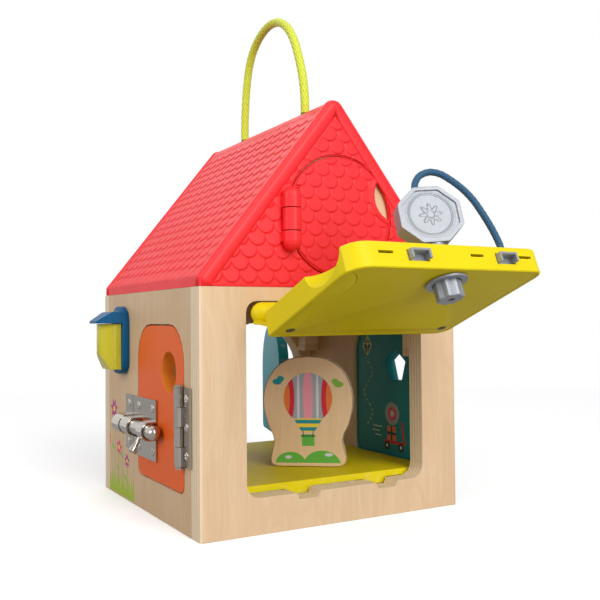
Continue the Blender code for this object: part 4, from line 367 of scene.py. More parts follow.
def frames_along(route):
    """Two directions across each point of a route, carried along it without twist."""
    ways = np.gradient(route, axis=0)
    ways /= np.linalg.norm(ways, axis=1)[:, None]
    side = np.cross(ways[0], (1.0, 0.0, 0.0))
    first = []
    for way in ways:
        side = side - way * np.dot(side, way)
        side = side / np.linalg.norm(side)
        first.append(side)
    first = np.array(first)
    return first, np.cross(ways, first)


def between(t, start, end, first, second):
    """Straight blend from first at start to second at end."""
    return first * (end - t) / (end - start) + second * (t - start) / (end - start)


def smooth_route(points, spacing):
    """Centripetal Catmull-Rom curve through the points, resampled at even spacing: in each
    gap three straight blends, then two of those, then one."""
    points = np.array(points, float)
    padded = np.vstack([2 * points[0] - points[1], points, 2 * points[-1] - points[-2]])
    fine = []
    for k in range(1, len(padded) - 2):
        p = padded[k - 1:k + 3]
        gaps = np.sqrt(np.linalg.norm(np.diff(p, axis=0), axis=1))
        at = np.concatenate([[0], np.cumsum(gaps)])
        t = np.linspace(at[1], at[2], 24, endpoint=False)[:, None]
        three = [between(t, at[i], at[i + 1], p[i], p[i + 1]) for i in range(3)]
        two = [between(t, at[i], at[i + 2], three[i], three[i + 1]) for i in range(2)]
        fine.append(between(t, at[1], at[2], *two))
    fine = np.vstack(fine + [points[-1:]])
    run = np.concatenate([[0], np.cumsum(np.linalg.norm(np.diff(fine, axis=0), axis=1))])
    even = np.linspace(0, run[-1], int(round(run[-1] / spacing)) + 1)
    return np.column_stack([np.interp(even, run, fine[:, k]) for k in range(3)]), run[-1]


def braid(name, points, radius, strands, pitch, colour, body, slot, node, around=48):
    """Round braid along a route. Two sets of strands wind opposite ways; at each point
    the set on top bulges as half a sine across its strand, and the sets swap in a
    checkered order. The attribute depth is 0 between strands and 1 on their backs; the
    material paints shade between the strands from it."""
    route, length = smooth_route(points, pitch / 7)
    first, second = frames_along(route)
    turns = np.arange(around) / around
    run = np.linspace(0, length, len(route))[:, None]
    left = turns * strands + run / pitch
    right = turns * strands - run / pitch
    on_top = (np.floor(left) + np.floor(right)) % 2 < 0.5
    over = np.where(on_top, left, right) % 1
    under = np.where(on_top, right, left) % 1
    bulge = np.sin(pi * over) ** 0.6 * (0.75 + 0.25 * np.sin(pi * under))
    angle = (2 * pi * turns)[None, :, None]
    ring = first[:, None] * np.cos(angle) + second[:, None] * np.sin(angle)
    grid = route[:, None] + ring * (radius * (0.86 + 0.14 * bulge))[..., None]
    count = len(route)
    index = np.arange(count * around).reshape(count, around)
    sides = corners(np.hstack([index, index[:, :1]]))[..., TURNED].reshape(-1, 4)
    faces = sides.tolist() + [index[0][::-1].tolist(), index[-1].tolist()]
    piece = add_object(name, grid.reshape(-1, 3), faces, colour, body, slot,
                       len(sides), (node,))
    depth = piece.data.attributes.new("depth", "FLOAT", "POINT")
    depth.data.foreach_set("value", bulge.ravel().astype(np.float32))


# ------ drawing on a surface

class Drawing:
    """Flat shapes about a centre as masks of two coordinates in metres: 1 inside, with a
    soft edge."""

    EDGE = 0.00012

    def __init__(self, graph, u, v):
        self.graph = graph
        self.u = u
        self.v = v

    def inside(self, distance):
        return 1.0 - distance.step(-self.EDGE, self.EDGE)

    def local(self, u, v, turn=0):
        du = self.u - u
        dv = self.v - v
        if not turn:
            return du, dv
        angle = radians(turn)
        return du * cos(angle) + dv * sin(angle), dv * cos(angle) - du * sin(angle)

    def oval(self, u, v, half_u, half_v, turn=0):
        du, dv = self.local(u, v, turn)
        du = du * (1 / half_u)
        dv = dv * (1 / half_v)
        return self.inside(((du * du + dv * dv).root() - 1.0) * min(half_u, half_v))

    def bar(self, u, v, half_u, half_v, turn=0):
        du, dv = self.local(u, v, turn)
        return self.inside((du.size() - half_u).most(dv.size() - half_v))

    def diamond(self, u, v, half_u, half_v):
        du, dv = self.local(u, v)
        return self.inside((du.size() * (1 / half_u) + dv.size() * (1 / half_v) - 1.0)
                           * min(half_u, half_v))

    def blossom(self, u, v, radius, petals):
        """Petals as a radius that swells with the cosine of the angle."""
        du, dv = self.local(u, v)
        start = radians(PETAL_TURN * petals) + pi / 2
        swell = ((dv.angle(du) * petals + start).sine() * 0.22 + 0.78) * radius
        return self.inside((du * du + dv * dv).root() - swell)

    def sway(self, u, low, high, lean, half_width):
        """A stem from low to high whose middle leans aside as a parabola."""
        share = (self.v - low) * (1 / (high - low))
        path = (share * (1.0 - share)) * (4 * lean) + u
        side = (self.u - path).size() - half_width
        return self.inside(side.most((low - self.v).most(self.v - high)))

    def printed(self, face, where, layers, scale=800.0, low=0.3, wear=0.1):
        """Layers of ink over a face, pairs of a mask and an ink, thinner in small specks."""
        specks = self.graph.noise(scale, 2.0, 0.7).step(low, 0.42)
        share = where * (specks * wear + (1.0 - wear))
        for mask, ink in layers:
            face = self.graph.mix(mask * share, face, ink)
        return face


# ------ materials

HOUSE_HALF = 0.1
FRONT_FACE = -0.007
BACK_FACE = 0.193
FRONT_PLY = 0.014
SIDE_PLY = 0.012
ALONG_X = (1.0, 0.0, 0.0)

BIRCH = (rgb(236, 210, 177), rgb(218, 185, 148))
BIRCH_PALE = rgb(245, 224, 194)
SIDE_BIRCH = (rgb(226, 199, 166), rgb(203, 170, 132))
SIDE_PALE = rgb(230, 206, 174)
PINE = (rgb(232, 190, 138), rgb(204, 152, 98))
FIGURINE_BIRCH = (rgb(244, 216, 178), rgb(226, 192, 150))


def wood(name, depth, lengthwise, start, thickness, layers, light, dark, drift, seed,
         decorate=None, pale=BIRCH_PALE, outward=None):
    """Lacquered birch plywood. Its board faces, where the surface looks along depth, have
    fibres as fine noise drawn out along the grain, streaks as coarser noise, and growth
    lines as the crests of a wave across the board that slow noise bends. Its edges are
    stripes of veneers, every second one end grain. outward is the sheet's own direction
    where it isn't one of the axes."""
    graph = new_graph(name)
    grown = graph.vector("ADD", graph.place, seed)

    def drawn_out(stretch, *noise):
        return graph.noise(*noise, [stretch if axis == lengthwise else 1.0
                                    for axis in range(3)], grown)

    fibres = drawn_out(0.03, 1500.0, 3.0, 0.65)
    streaks = drawn_out(0.08, 150.0, 3.0, 0.6)
    bend = drawn_out(0.3, 17.0, 2.0, 0.55)
    phase = graph.split(grown)[3 - depth - lengthwise] * 16.0 + bend * drift
    crest = (phase * (2 * pi)).sine()
    face = graph.mix(streaks.step(0.32, 0.7), dark, light)
    face = graph.mix(crest.step(0.9, 1.0) * 0.55, face, pale)
    face = graph.mix(crest.step(-1.0, -0.55) * 0.22, dark, face)
    face = graph.shade(face, fibres * 0.22 + 0.8 + bend * 0.18)
    outward = outward or tuple(float(axis == depth) for axis in range(3))
    count = (graph.along(graph.place, outward) - start) * (layers / thickness)
    odd = (count * 0.5).fraction().above(0.5)
    glue = (count.fraction() - 0.5).size().step(0.38, 0.5)
    edge = graph.mix(odd, rgb(240, 220, 190), rgb(224, 198, 164))
    edge = graph.shade(edge, graph.noise(900.0, 2.0, 0.7) * 0.35 + 0.8 - glue * 0.1)
    faces_out = graph.facing(outward).size().step(0.62, 0.86)
    if decorate:
        face = decorate(graph, face)
    return graph.finish(graph.mix(faces_out, edge, face),
                        fibres * 0.16 + 0.46 - faces_out * 0.06,
                        fibres + glue * 1.5 * (1.0 - faces_out), 0.00006,
                        Specular_IOR_Level=0.35)


def enamel(name, colour, outward, roughness=0.38, hole=None, decorate=None):
    """Painted wood: the grain shows faintly through, the spray leaves a soft texture,
    and the paint is thinner and lighter on cut edges. A finger hole, given by its middle's
    y and z, its radius and its colour, has a rough wall."""
    graph = new_graph(name)
    fibres = graph.noise(600.0, 3.0, 0.6, (1.0, 1.0, 0.06))
    spray = graph.noise(700.0, 2.0, 0.6)
    base = graph.shade(colour, fibres * 0.08 + graph.noise(22.0) * 0.14 + 0.89)
    if decorate:
        base = decorate(graph, base)
    faces_out = graph.facing(outward).size().step(0.6, 0.9)
    worn = (1.0 - faces_out) * graph.noise(260.0, 3.0, 0.7).step(0.5, 0.72)
    base = graph.mix(worn * 0.35, base, graph.mix(0.5, colour, rgb(255, 226, 180)))
    rough = spray * 0.1 + roughness + worn * 0.2
    height = spray + fibres * 0.5
    if hole:
        centre_y, centre_z, radius, hole_colour = hole
        dy = graph.parts[1] - centre_y
        dz = graph.parts[2] - centre_z
        in_hole = 1.0 - (dy * dy + dz * dz).root().step(radius, radius + 0.0006)
        in_hole = in_hole * (1.0 - faces_out)
        crumbs = graph.noise(900.0, 4.0, 0.8)
        base = graph.mix(in_hole, base, graph.shade(hole_colour, crumbs * 0.6 + 0.7))
        rough = rough + in_hole * 0.3
        height = height + in_hole * crumbs * 6.0
    return graph.finish(base, rough, height, 0.00004, Specular_IOR_Level=0.2,
                        Coat_Weight=0.05, Coat_Roughness=0.2)


def plastic(name, colour, second, roughness, gloss=0.2, sparkle=0.0):
    """Moulded plastic: slow drifts of colour, a fine eroded texture, and flow marks as
    slightly glossier patches, painted as a sheen of a little white in their colour. Sparkle adds
    the flakes of a silver grey."""
    graph = new_graph(name)
    fine = graph.noise(2200.0, 2.0, 0.7)
    flow = graph.noise(45.0, 3.0, 0.6, (0.4, 1.0, 1.0))
    flow_marks_sheen = graph.noise(420.0, 3.0, 0.75, (1.0, 0.15, 1.0)).step(0.66, 0.8)
    base = graph.mix(graph.noise(14.0).step(0.3, 0.7) * 0.6, colour, second)
    base = graph.shade(base, fine * 0.1 + 0.95)
    metallic = 0.0
    if sparkle:
        flakes = graph.noise(3500.0, 1.0).step(0.62, 0.75)
        base = graph.mix(flakes * sparkle, base, rgb(240, 242, 246))
        metallic = flakes * 0.35 + 0.3
    # Painted sheen: a little white mixed into the colour on the flow marks.
    return graph.finish(graph.mix(flow_marks_sheen * 0.05, base, WHITE),
                        flow * 0.12 + roughness + flow_marks_sheen * 0.12, fine + flow_marks_sheen * 0.6, 0.00003,
                        Metallic=metallic, Specular_IOR_Level=gloss)


def nickel(name, colour, roughness=0.1):
    """Bright plated steel: polishing lines, faint stains, and pits in the plating."""
    graph = new_graph(name)
    lines = graph.noise(2400.0, 2.0, 0.7, (1.0, 0.1, 1.0))
    stain = graph.noise(90.0, 4.0, 0.65)
    pits = graph.noise(1300.0, 1.0).step(0.7, 0.78)
    base = graph.mix(stain.step(0.45, 0.75) * 0.25, colour, rgb(160, 151, 138))
    return graph.finish(graph.mix(pits * 0.3, base, rgb(110, 104, 98)),
                        lines * 0.08 + stain * 0.08 + roughness + pits * 0.1,
                        lines - pits, 0.00001, Metallic=1.0)


def braided(name, colour, strand_shade_colour):
    """Braid: painted shade between its strands, as a darker colour there, and fine threads whose
    tone in the colour also paints a glint along them.
    """
    graph = new_graph(name)
    depth = graph.node("Attribute", {}, "Fac", attribute_name="depth")
    threads = graph.noise(2600.0, 2.0, 0.7)
    # Painted shade: the colour falls to the shade colour between the strands.
    base = graph.mix(depth.step(0.05, 0.75), strand_shade_colour, colour)
    # The thread noise lightens and darkens the colour: the threads' own tone and a painted glint
    # along them.
    return graph.finish(graph.shade(base, threads * 0.45 + 0.78), threads * 0.2 + 0.55,
                        threads, 0.00012, Sheen_Weight=0.3)


def tinted_lens(name):
    """Tinted clear plastic that scatters a little of its own lime."""
    graph = new_graph(name)
    haze = graph.noise(1500.0, 2.0, 0.6)
    return graph.finish(graph.mix(graph.noise(60.0), rgb(226, 214, 30), rgb(236, 226, 70)),
                        haze * 0.1 + 0.14, haze, 0.00002, Transmission_Weight=0.35, IOR=1.45)


# ------ prints

GREEN = rgb(126, 176, 62)
GRASS = rgb(164, 184, 44)
LIME = rgb(205, 214, 60)
PURPLE = rgb(164, 40, 128)
PINK = rgb(214, 70, 112)
CORAL = rgb(232, 104, 92)
RED = rgb(206, 38, 54)
TEAL = rgb(20, 140, 150)
NAVY = rgb(24, 62, 84)
GREY = rgb(158, 163, 172)
PALE_GREY = rgb(206, 210, 216)
ORANGE = rgb(226, 116, 52)
YELLOW = rgb(240, 206, 60)
LEAF = rgb(96, 176, 66)
PETAL_TURN = 40
# Each daisy's middle, radius, petals, ink and its stem's lean.
DAISIES = (
    (0.1805, 0.04, 0.006, 6, CORAL, 0.002),
    (0.166, 0.0655, 0.0082, 7, PURPLE, -0.0024),
    (0.1535, 0.037, 0.0064, 5, PINK, 0.0018),
    (0.143, 0.0575, 0.005, 6, CORAL, 0.0016),
    (0.1345, 0.029, 0.0056, 7, PURPLE, -0.0016),
)
FIGURINE_PLACE = Vector((0.0082, 0.049, 0.027))
FIGURINE_ACROSS = (cos(radians(-36)), sin(radians(-36)), 0.0)
FIGURINE_OUT = (sin(radians(-36)), -cos(radians(-36)), 0.0)


def meadow(graph, face):
    """Print on the left wall: a hedge of grass with daisies on swaying stems."""
    x, y, z = graph.parts
    draw = Drawing(graph, y, z)
    blades = ((y * 210.0).fraction() - 0.5).size() * 0.022
    tall = ((y * 83.0).fraction() - 0.5).size() * 0.014
    grass = draw.inside((z - (blades + tall + 0.0035)).most(0.1175 - y))
    layers = []
    for u, v, radius, petals, ink, lean in DAISIES:
        layers += [(draw.sway(u, 0.004, v, lean, 0.00055), GREEN),
                   (draw.oval(u + 0.0034, v * 0.55, 0.0036, 0.0014, 35), GREEN),
                   (draw.blossom(u, v, radius, petals), ink),
                   (draw.oval(u, v, radius * 0.3, radius * 0.3), YELLOW)]
    layers.append((grass * (1.0 - draw.inside(z - 0.0012)), GRASS))
    return draw.printed(face, x.below(-0.099), layers)


def playground(graph, face):
    """Print on the right door's inner side: a kite with a dashed tail, and a cart."""
    x, y, z = graph.parts
    draw = Drawing(graph, y, z)
    bar, oval, diamond = draw.bar, draw.oval, draw.diamond
    tail_path = (z * 190.0).sine() * 0.0055 + 0.0905
    tail = draw.inside(((y - tail_path).size() - 0.00045).most(0.048 - z).most(z - 0.103))
    dashes = (z * 260.0).fraction().above(0.42)
    layers = [
        (tail * dashes, LIME),
        (diamond(0.0915, 0.1125, 0.0065, 0.009), LIME),
        (diamond(0.0915, 0.1125, 0.005, 0.0072), NAVY),
        (bar(0.0915, 0.1125, 0.0004, 0.0085), LIME),
        (bar(0.0915, 0.114, 0.0058, 0.0004), LIME),
        (bar(0.078, 0.048, 0.006, 0.0004), PALE_GREY),
        (bar(0.08, 0.0445, 0.005, 0.0004), PALE_GREY),
        (bar(0.077, 0.041, 0.004, 0.0004), PALE_GREY),
        (bar(0.056, 0.037, 0.013, 0.0012), RED),
        (bar(0.044, 0.045, 0.0011, 0.009, -12), RED),
        (bar(0.059, 0.044, 0.0058, 0.0056), ORANGE),
        (bar(0.059, 0.044, 0.0058, 0.001), NAVY),
        (bar(0.059, 0.044, 0.001, 0.0056), NAVY),
        (oval(0.058, 0.0595, 0.0092, 0.009), GREY),
        (oval(0.058, 0.0595, 0.0056, 0.0054), PINK),
        (oval(0.058, 0.0595, 0.0026, 0.0025), PALE_GREY),
    ]
    for centre in (0.047, 0.065):
        layers += [(oval(centre, 0.034, 0.0036, 0.0036), rgb(30, 30, 36)),
                   (oval(centre, 0.034, 0.0014, 0.0014), PALE_GREY)]
    return draw.printed(face, x.below(0.0925), layers)


def balloon(graph, face):
    """Print on the figurine's front: a striped balloon over green hills, with clouds."""
    place = graph.vector("ADD", graph.place, tuple(-FIGURINE_PLACE))
    u = graph.along(place, FIGURINE_ACROSS)
    v = graph.parts[2] - FIGURINE_PLACE.z
    draw = Drawing(graph, u, v)
    bar, oval = draw.bar, draw.oval
    envelope = oval(0.0, 0.05, 0.0178, 0.0185)
    stripes = (v * 190.0).fraction().above(0.5)
    skirt = draw.inside((u.size() - (v - 0.018) * 0.62).most(0.0255 - v).most(v - 0.0352))
    hills = oval(-0.013, 0.0025, 0.011, 0.0085).most(oval(0.01, 0.0005, 0.014, 0.0115))
    layers = [
        (oval(-0.0225, 0.062, 0.0034, 0.0022), TEAL),
        (oval(-0.02, 0.064, 0.0026, 0.0022), TEAL),
        (oval(0.0225, 0.06, 0.0036, 0.0022), GREEN),
        (oval(0.02, 0.0622, 0.0026, 0.002), GREEN),
        (envelope, GREY),
        (envelope * oval(0.0, 0.05, 0.0036, 0.023), rgb(232, 150, 164)),
    ]
    for side in (-1, 1):
        layers += [(envelope * oval(side * 0.017, 0.05, 0.0072, 0.023), RED),
                   (envelope * oval(side * 0.0172, 0.05, 0.004, 0.015), ORANGE),
                   (envelope * oval(side * 0.007, 0.05, 0.001, 0.02), PALE_GREY)]
    layers += [
        (skirt, TEAL), (skirt * stripes, YELLOW),
        (bar(0.0, 0.0195, 0.0046, 0.0042), LEAF),
        (bar(0.0, 0.0225, 0.0052, 0.0008), rgb(60, 132, 58)),
        (bar(-0.0036, 0.0245, 0.0003, 0.0022, 8), NAVY),
        (bar(0.0036, 0.0245, 0.0003, 0.0022, -8), NAVY),
        (hills * (1.0 - draw.inside(v - 0.003)), LEAF),
        (oval(-0.0145, 0.0072, 0.0024, 0.0012), PALE_GREY),
        (oval(0.015, 0.009, 0.003, 0.0012), PALE_GREY),
    ]
    return draw.printed(face, graph.facing(FIGURINE_OUT).step(0.9, 0.97), layers,
                        900.0, 0.28, 0.12)


# ------ looks of the solids

def dress(material, names):
    """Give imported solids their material."""
    for name in names.split():
        node = NODES[name]
        if not node.material_slots:
            node.data.materials.append(material)
        for place in node.material_slots:
            place.material = material


BACK_DOOR_OUTWARD = (sin(radians(107)), cos(radians(107)), 0.0)
RED_PLASTIC = plastic("red_plastic", rgb(238, 34, 42), rgb(230, 26, 36), 0.4, 0.4)
YELLOW_PLASTIC = plastic("yellow_plastic", rgb(226, 204, 0), rgb(218, 196, 0), 0.42)
BLUE_PLASTIC = plastic("blue_plastic", rgb(0, 88, 134), rgb(0, 80, 126), 0.38)
GREY_PLASTIC = plastic("grey_plastic", rgb(146, 149, 155), rgb(150, 155, 164), 0.34, 0.4, 0.3)
NICKEL = nickel("nickel", rgb(188, 181, 172))
# A dark copy of the plated steel, for the screws in the front door's wells: painted shade of the
# wells.
WELL_SHADE_STEEL = nickel("well_shade_steel", rgb(96, 88, 74), 0.3)
# The second colour of each braid is the painted shade between its strands.
LIME_BRAID = braided("lime_rope", rgb(214, 222, 58), rgb(128, 140, 18))
BLUE_BRAID = braided("blue_cord", rgb(8, 80, 116), rgb(2, 30, 52))
FLOOR_ENAMEL = enamel("floor_paint", rgb(222, 204, 0), (0.0, 0.0, 1.0), 0.5)

# Solids and material; the axes of depth and grain; where the first veneer starts, the
# thickness and the number of veneers; then the rest as wood takes it.
BOARDS = (
    ("front_wall", "front_birch", 1, 2, FRONT_FACE, FRONT_PLY, 9, *BIRCH, 7.5,
     (0.31, 0.0, 0.12)),
    ("back_wall", "back_birch", 1, 2, BACK_FACE - FRONT_PLY, FRONT_PLY, 9, *BIRCH, 6.0,
     (0.77, 0.0, 0.4)),
    ("left_wall", "left_birch", 0, 2, -HOUSE_HALF, SIDE_PLY, 7, *SIDE_BIRCH, 2.4,
     (0.0, 0.51, 0.2), meadow, SIDE_PALE),
    ("right_wall", "right_birch", 0, 2, HOUSE_HALF - SIDE_PLY, SIDE_PLY, 7, *SIDE_BIRCH, 3.0,
     (0.0, 0.93, 0.6), None, SIDE_PALE),
    ("attic_floor", "attic_floor_birch", 2, 1, float(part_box("attic_floor")[0][2]), 0.004, 3,
     *BIRCH, 5.0, (0.2, 0.1, 0.0)),
    ("attic_panel", "gable_birch", 1, 2, float(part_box("attic_panel")[0][1]), 0.0085, 5,
     *BIRCH, 4.0, (0.4, 0.0, 0.3)),
    ("figurine", "figurine_birch", 1, 2, -0.0055, 0.011, 7, *FIGURINE_BIRCH, 3.0,
     (0.15, 0.0, 0.22), balloon, BIRCH_PALE, FIGURINE_OUT),
    ("roof_block_front_left roof_block_front_right roof_block_back_left roof_block_back_right"
     " floor_batten_left floor_batten_right", "pine", 2, 0, 0.0, 0.014, 1, *PINE, 9.0,
     (0.0, 0.0, 0.0)),
)
for solids, *how in BOARDS:
    dress(wood(*how), solids)
dress(FLOOR_ENAMEL, "floor_board")
dress(enamel("orange_paint", rgb(228, 94, 22), ALONG_X,
             hole=(0.0455, 0.1004, 0.014, rgb(248, 142, 44))), "left_door")
dress(enamel("teal_paint_side", rgb(0, 128, 138), ALONG_X,
             hole=(0.0535, 0.097, 0.0146, rgb(22, 128, 132)), decorate=playground),
      "right_door")
dress(enamel("teal_paint_back", rgb(8, 130, 142), BACK_DOOR_OUTWARD), "back_door")
dress(RED_PLASTIC, "roof attic_door")
dress(YELLOW_PLASTIC, "front_door_shell front_door_cover front_hinge_bracket turn_button")
dress(BLUE_PLASTIC, "lamp_bracket")
dress(tinted_lens("lamp_lens"), "lamp_lens")
dress(GREY_PLASTIC, "lock_sleeve lock_collar key latch_bar")
dress(LIME_BRAID, "rope_knot_front rope_knot_back")
dress(NICKEL, "front_hinge_axle bolt_keeper bolt_plate bolt_rod bolt_handle hook_screw hook"
      " hook_eye turn_button_screw "
      + " ".join(name for name in NODES if name.endswith(("_leaf", "_hinge_pin"))))


# ------ cords

# The rope's route over the ridge, as distances behind the front face and heights.
ROPE_POINTS = (
    (0.0425, 0.2818), (0.0425, 0.29), (0.0446, 0.306), (0.05, 0.323), (0.058, 0.34),
    (0.069, 0.353), (0.082, 0.3605), (0.0967, 0.3624), (0.111, 0.359), (0.123, 0.3515),
    (0.1315, 0.34), (0.1365, 0.324), (0.1395, 0.305), (0.1405, 0.29), (0.1405, 0.2818),
)
# The tether's, as across the key's head, out from the closed door and towards its hinge.
TETHER_POINTS = (
    (-0.0032, 0.0424, 0.0), (-0.0029, 0.0462, 0.0), (0.001, 0.0516, -0.0004),
    (0.0075, 0.0536, -0.0008), (0.0135, 0.0518, -0.001), (0.019, 0.0472, -0.001),
    (0.025, 0.0405, -0.0006), (0.0296, 0.033, -0.0002), (0.033, 0.025, 0.0006),
    (0.0362, 0.0165, 0.0018), (0.0386, 0.0085, 0.003), (0.0394, 0.004, 0.0034),
    (0.0394, 0.0008, 0.0034),
)
DOOR_AXIS = np.array([0.0, -0.0125, 0.1383])
DOOR_TURN = radians(-111.7)
KEY_X = 0.0041
KEY_HEIGHT = 0.0402
KEY_TURN = radians(20.0)
DOOR_OUTER_Y = -0.0065
ROPE_DIAMETER = 0.0064
TETHER_DIAMETER = 0.0042


def raised(points, pivot=DOOR_AXIS):
    """Places on the closed front door, turned up about its axis as at rest."""
    x, y, z = (np.array(points, float) - pivot).T
    return np.column_stack([x, y * cos(DOOR_TURN) - z * sin(DOOR_TURN),
                            y * sin(DOOR_TURN) + z * cos(DOOR_TURN)]) + pivot


def by_key(across, out, along):
    """Place on the closed door from the key's own three distances."""
    return (KEY_X + across * cos(KEY_TURN) + along * sin(KEY_TURN), DOOR_OUTER_Y - out,
            KEY_HEIGHT - across * sin(KEY_TURN) + along * cos(KEY_TURN))


braid("rope_braid", [(0.0, FRONT_FACE + back, height) for back, height in ROPE_POINTS],
      ROPE_DIAMETER / 2, 8, 0.0052, LIME_BRAID, "house", "lime_rope", "rope_handle")
braid("tether_braid", raised([by_key(*p) for p in TETHER_POINTS]), TETHER_DIAMETER / 2, 7,
      0.0034, BLUE_BRAID, "key", "blue_cord", "key_tether", 40)


# ------ roof tiles

TILE_WIDTH = 0.0124
TILE_ROW = 0.0085
TILE_EDGE = 0.0006
GABLE_TILE_WIDTH = 0.0121
GABLE_TILE_ROW = 0.008
GABLE_TILE_ASIDE = 0.0048


def eased(share):
    """0 to 1 with level ends."""
    share = np.clip(share, 0, 1)
    return share * share * (3 - 2 * share)


def tile_edge(u, rise, row, width):
    """Distance inside a tile's edge: its foot is a half circle, its sides are straight, and
    odd rows are moved aside by half a tile."""
    radius = width / 2
    aside = ((u / width + (row % 2) / 2 + 0.5) % 1 - 0.5) * width
    return radius - np.where(rise < radius, np.hypot(aside, rise - radius), np.abs(aside))


def tiles(u, v, thickness):
    """Height of overlapping round tiles. A tile's back slopes down from its foot to where
    it runs under the next rows."""
    radius = GABLE_TILE_WIDTH / 2

    def tile(row):
        rise = v - row * GABLE_TILE_ROW
        back = thickness * (1 - 0.9 * np.clip(rise / (GABLE_TILE_ROW + radius), 0, 1))
        return back, tile_edge(u + GABLE_TILE_ASIDE, rise, row, GABLE_TILE_WIDTH) / TILE_EDGE

    row = np.floor(v / GABLE_TILE_ROW)
    back, edge = tile(row)
    under, under_edge = tile(row - 1)
    under = under * np.clip(under_edge + 0.35, 0.35, 1)
    return under + (back - under) * eased(edge)


ROOF_HALF = 0.099
ROOF_FRONT = -0.005
ROOF_BACK = 0.191
ROOF_DEPTH_HALF = (ROOF_BACK - ROOF_FRONT) / 2
ROOF_PEAK_Z = 0.2851
ROOF_BASE_Z = 0.1554
ROOF_SLOPE = np.arctan2(0.1242, 0.099)
SLOPE_COS, SLOPE_SIN = np.cos(ROOF_SLOPE), np.sin(ROOF_SLOPE)
SLOPE_TAN = np.tan(ROOF_SLOPE)
RIDGE_ROUND = 0.006
RIDGE_CENTRE_Z = 0.2755
VERGE = 0.011
# The solid's courses: each rises by a row, is sunk at its foot and falls by a step.
COURSE_START = 0.004
COURSE_SINK = 0.0004
COURSE_STEP = 0.0007
COURSE_RAISE = 0.00045
COURSES = 16
FOOT_BELOW_STEP = 0.0037
SKIN_DEPTH = 0.0015
BAND_COVER = 0.00004
ROLL_EDGE = 0.0058
ROLL_RADIUS = 0.0045
ROLL_PROUD = 0.0008
ROLL_INSET = 0.009


def red_skin(name, body, *how):
    """A relief of the roof's red plastic."""
    points, faces, top = relief(*how)
    add_object(name, points, faces, RED_PLASTIC, body, "red_plastic", top)


def slope_height(u, v):
    """Height over the skin's hidden plane. A tile's back falls as the solid's course
    under it does, its round foot runs out over the course below, and over the bands
    round the sunk field only the feet stand out."""
    up = v - COURSE_START + FOOT_BELOW_STEP

    def course(row):
        rise = up - row * TILE_ROW
        line = -COURSE_SINK + 0.0001 - COURSE_STEP * (rise - FOOT_BELOW_STEP) / TILE_ROW
        return line + COURSE_RAISE, eased(tile_edge(u, rise, row, TILE_WIDTH) / TILE_EDGE)

    row = np.floor(up / TILE_ROW)
    line, share = course(row)
    under, under_share = course(row - 1)
    height = under - 0.0002 * (1 - under_share) + (line - under) * share
    climbed = np.clip(v - COURSE_START, 0, COURSES * TILE_ROW - 1e-6)
    solid = -COURSE_SINK - COURSE_STEP * (climbed % TILE_ROW) / TILE_ROW
    band = np.maximum(np.abs(u) - (ROOF_DEPTH_HALF - VERGE - 0.0001),
                      np.maximum(COURSE_START - v, v - COURSE_START - COURSES * TILE_ROW))
    solid = np.where(band > -0.0001, 0.0, solid)
    return np.maximum(height, solid + BAND_COVER) + SKIN_DEPTH


def roof_slopes():
    """Tiled skins over both slopes, from roll to roll, courses as in the solid."""
    eave = ROOF_PEAK_Z - ROOF_HALF * SLOPE_TAN
    middle = (ROOF_BACK + ROOF_FRONT) / 2
    ridge_end = ROOF_HALF / SLOPE_COS - RIDGE_ROUND * SLOPE_TAN
    spans = ((ROLL_EDGE - ROOF_DEPTH_HALF, ROOF_DEPTH_HALF - ROLL_EDGE), (0.0001, ridge_end))
    for name, side in (("roof_tiles_left", -1), ("roof_tiles_right", 1)):
        up = np.array([-side * SLOPE_COS, 0, SLOPE_SIN])
        across = np.array([0, side * 1.0, 0])
        start = np.array([side * ROOF_HALF, middle, eave]) - np.cross(across, up) * SKIN_DEPTH
        red_skin(name, "house", start, across, up, spans, 0.00062, slope_height)


def roll_profile():
    """The roll across its verge, as inset from the slope and depth behind the gable: up
    from the slope, a quarter round about the corner, and a long fall to the gable."""
    middle = ROLL_RADIUS - ROLL_PROUD
    turn = np.linspace(0, pi / 2, 9)
    corner = middle - ROLL_RADIUS * np.column_stack([np.cos(turn), np.sin(turn)])
    slope_side = np.array([(0.5, 6.4), (-0.15, 6.3), (-0.5, 5.95), (-0.74, 5.1)]) / 1000
    gable_side = np.array([(5.3, -0.78), (6.9, -0.66), (8.3, -0.42), (8.8, -0.12), (9.0, 0.5),
                           (4.0, 2.0), (2.0, 4.0)]) / 1000
    return np.vstack([slope_side, corner, gable_side])


def verge_path(inset):
    """Line that follows the gable's outline at an inset: up the eave's lip, up the slope,
    round the ridge and down the same way. Where the inset passes the ridge's radius, the
    round shrinks to its point."""
    half = ROOF_HALF - inset
    lean = 1 / SLOPE_COS - SLOPE_TAN
    corner = ROOF_PEAK_Z - ROOF_HALF * SLOPE_TAN - inset * lean
    reach = max(RIDGE_ROUND - inset, 0.0)
    top = RIDGE_CENTRE_Z - max(inset - RIDGE_ROUND, 0.0) / SLOPE_COS
    turn = np.linspace(-ROOF_SLOPE, ROOF_SLOPE, 13)
    arc = np.column_stack([reach * np.sin(turn), top + reach * np.cos(turn)])
    run = np.array([0.0, 0.004, 0.02, 0.2, 0.4, 0.6, 0.8, 0.96])[:, None]
    foot = np.array([-half, corner])
    left = np.vstack([[-half, ROOF_BASE_Z], [-half, corner - 0.0004], foot + (arc[0] - foot) * run])
    return np.vstack([left, arc, left[::-1] * (-1, 1)])


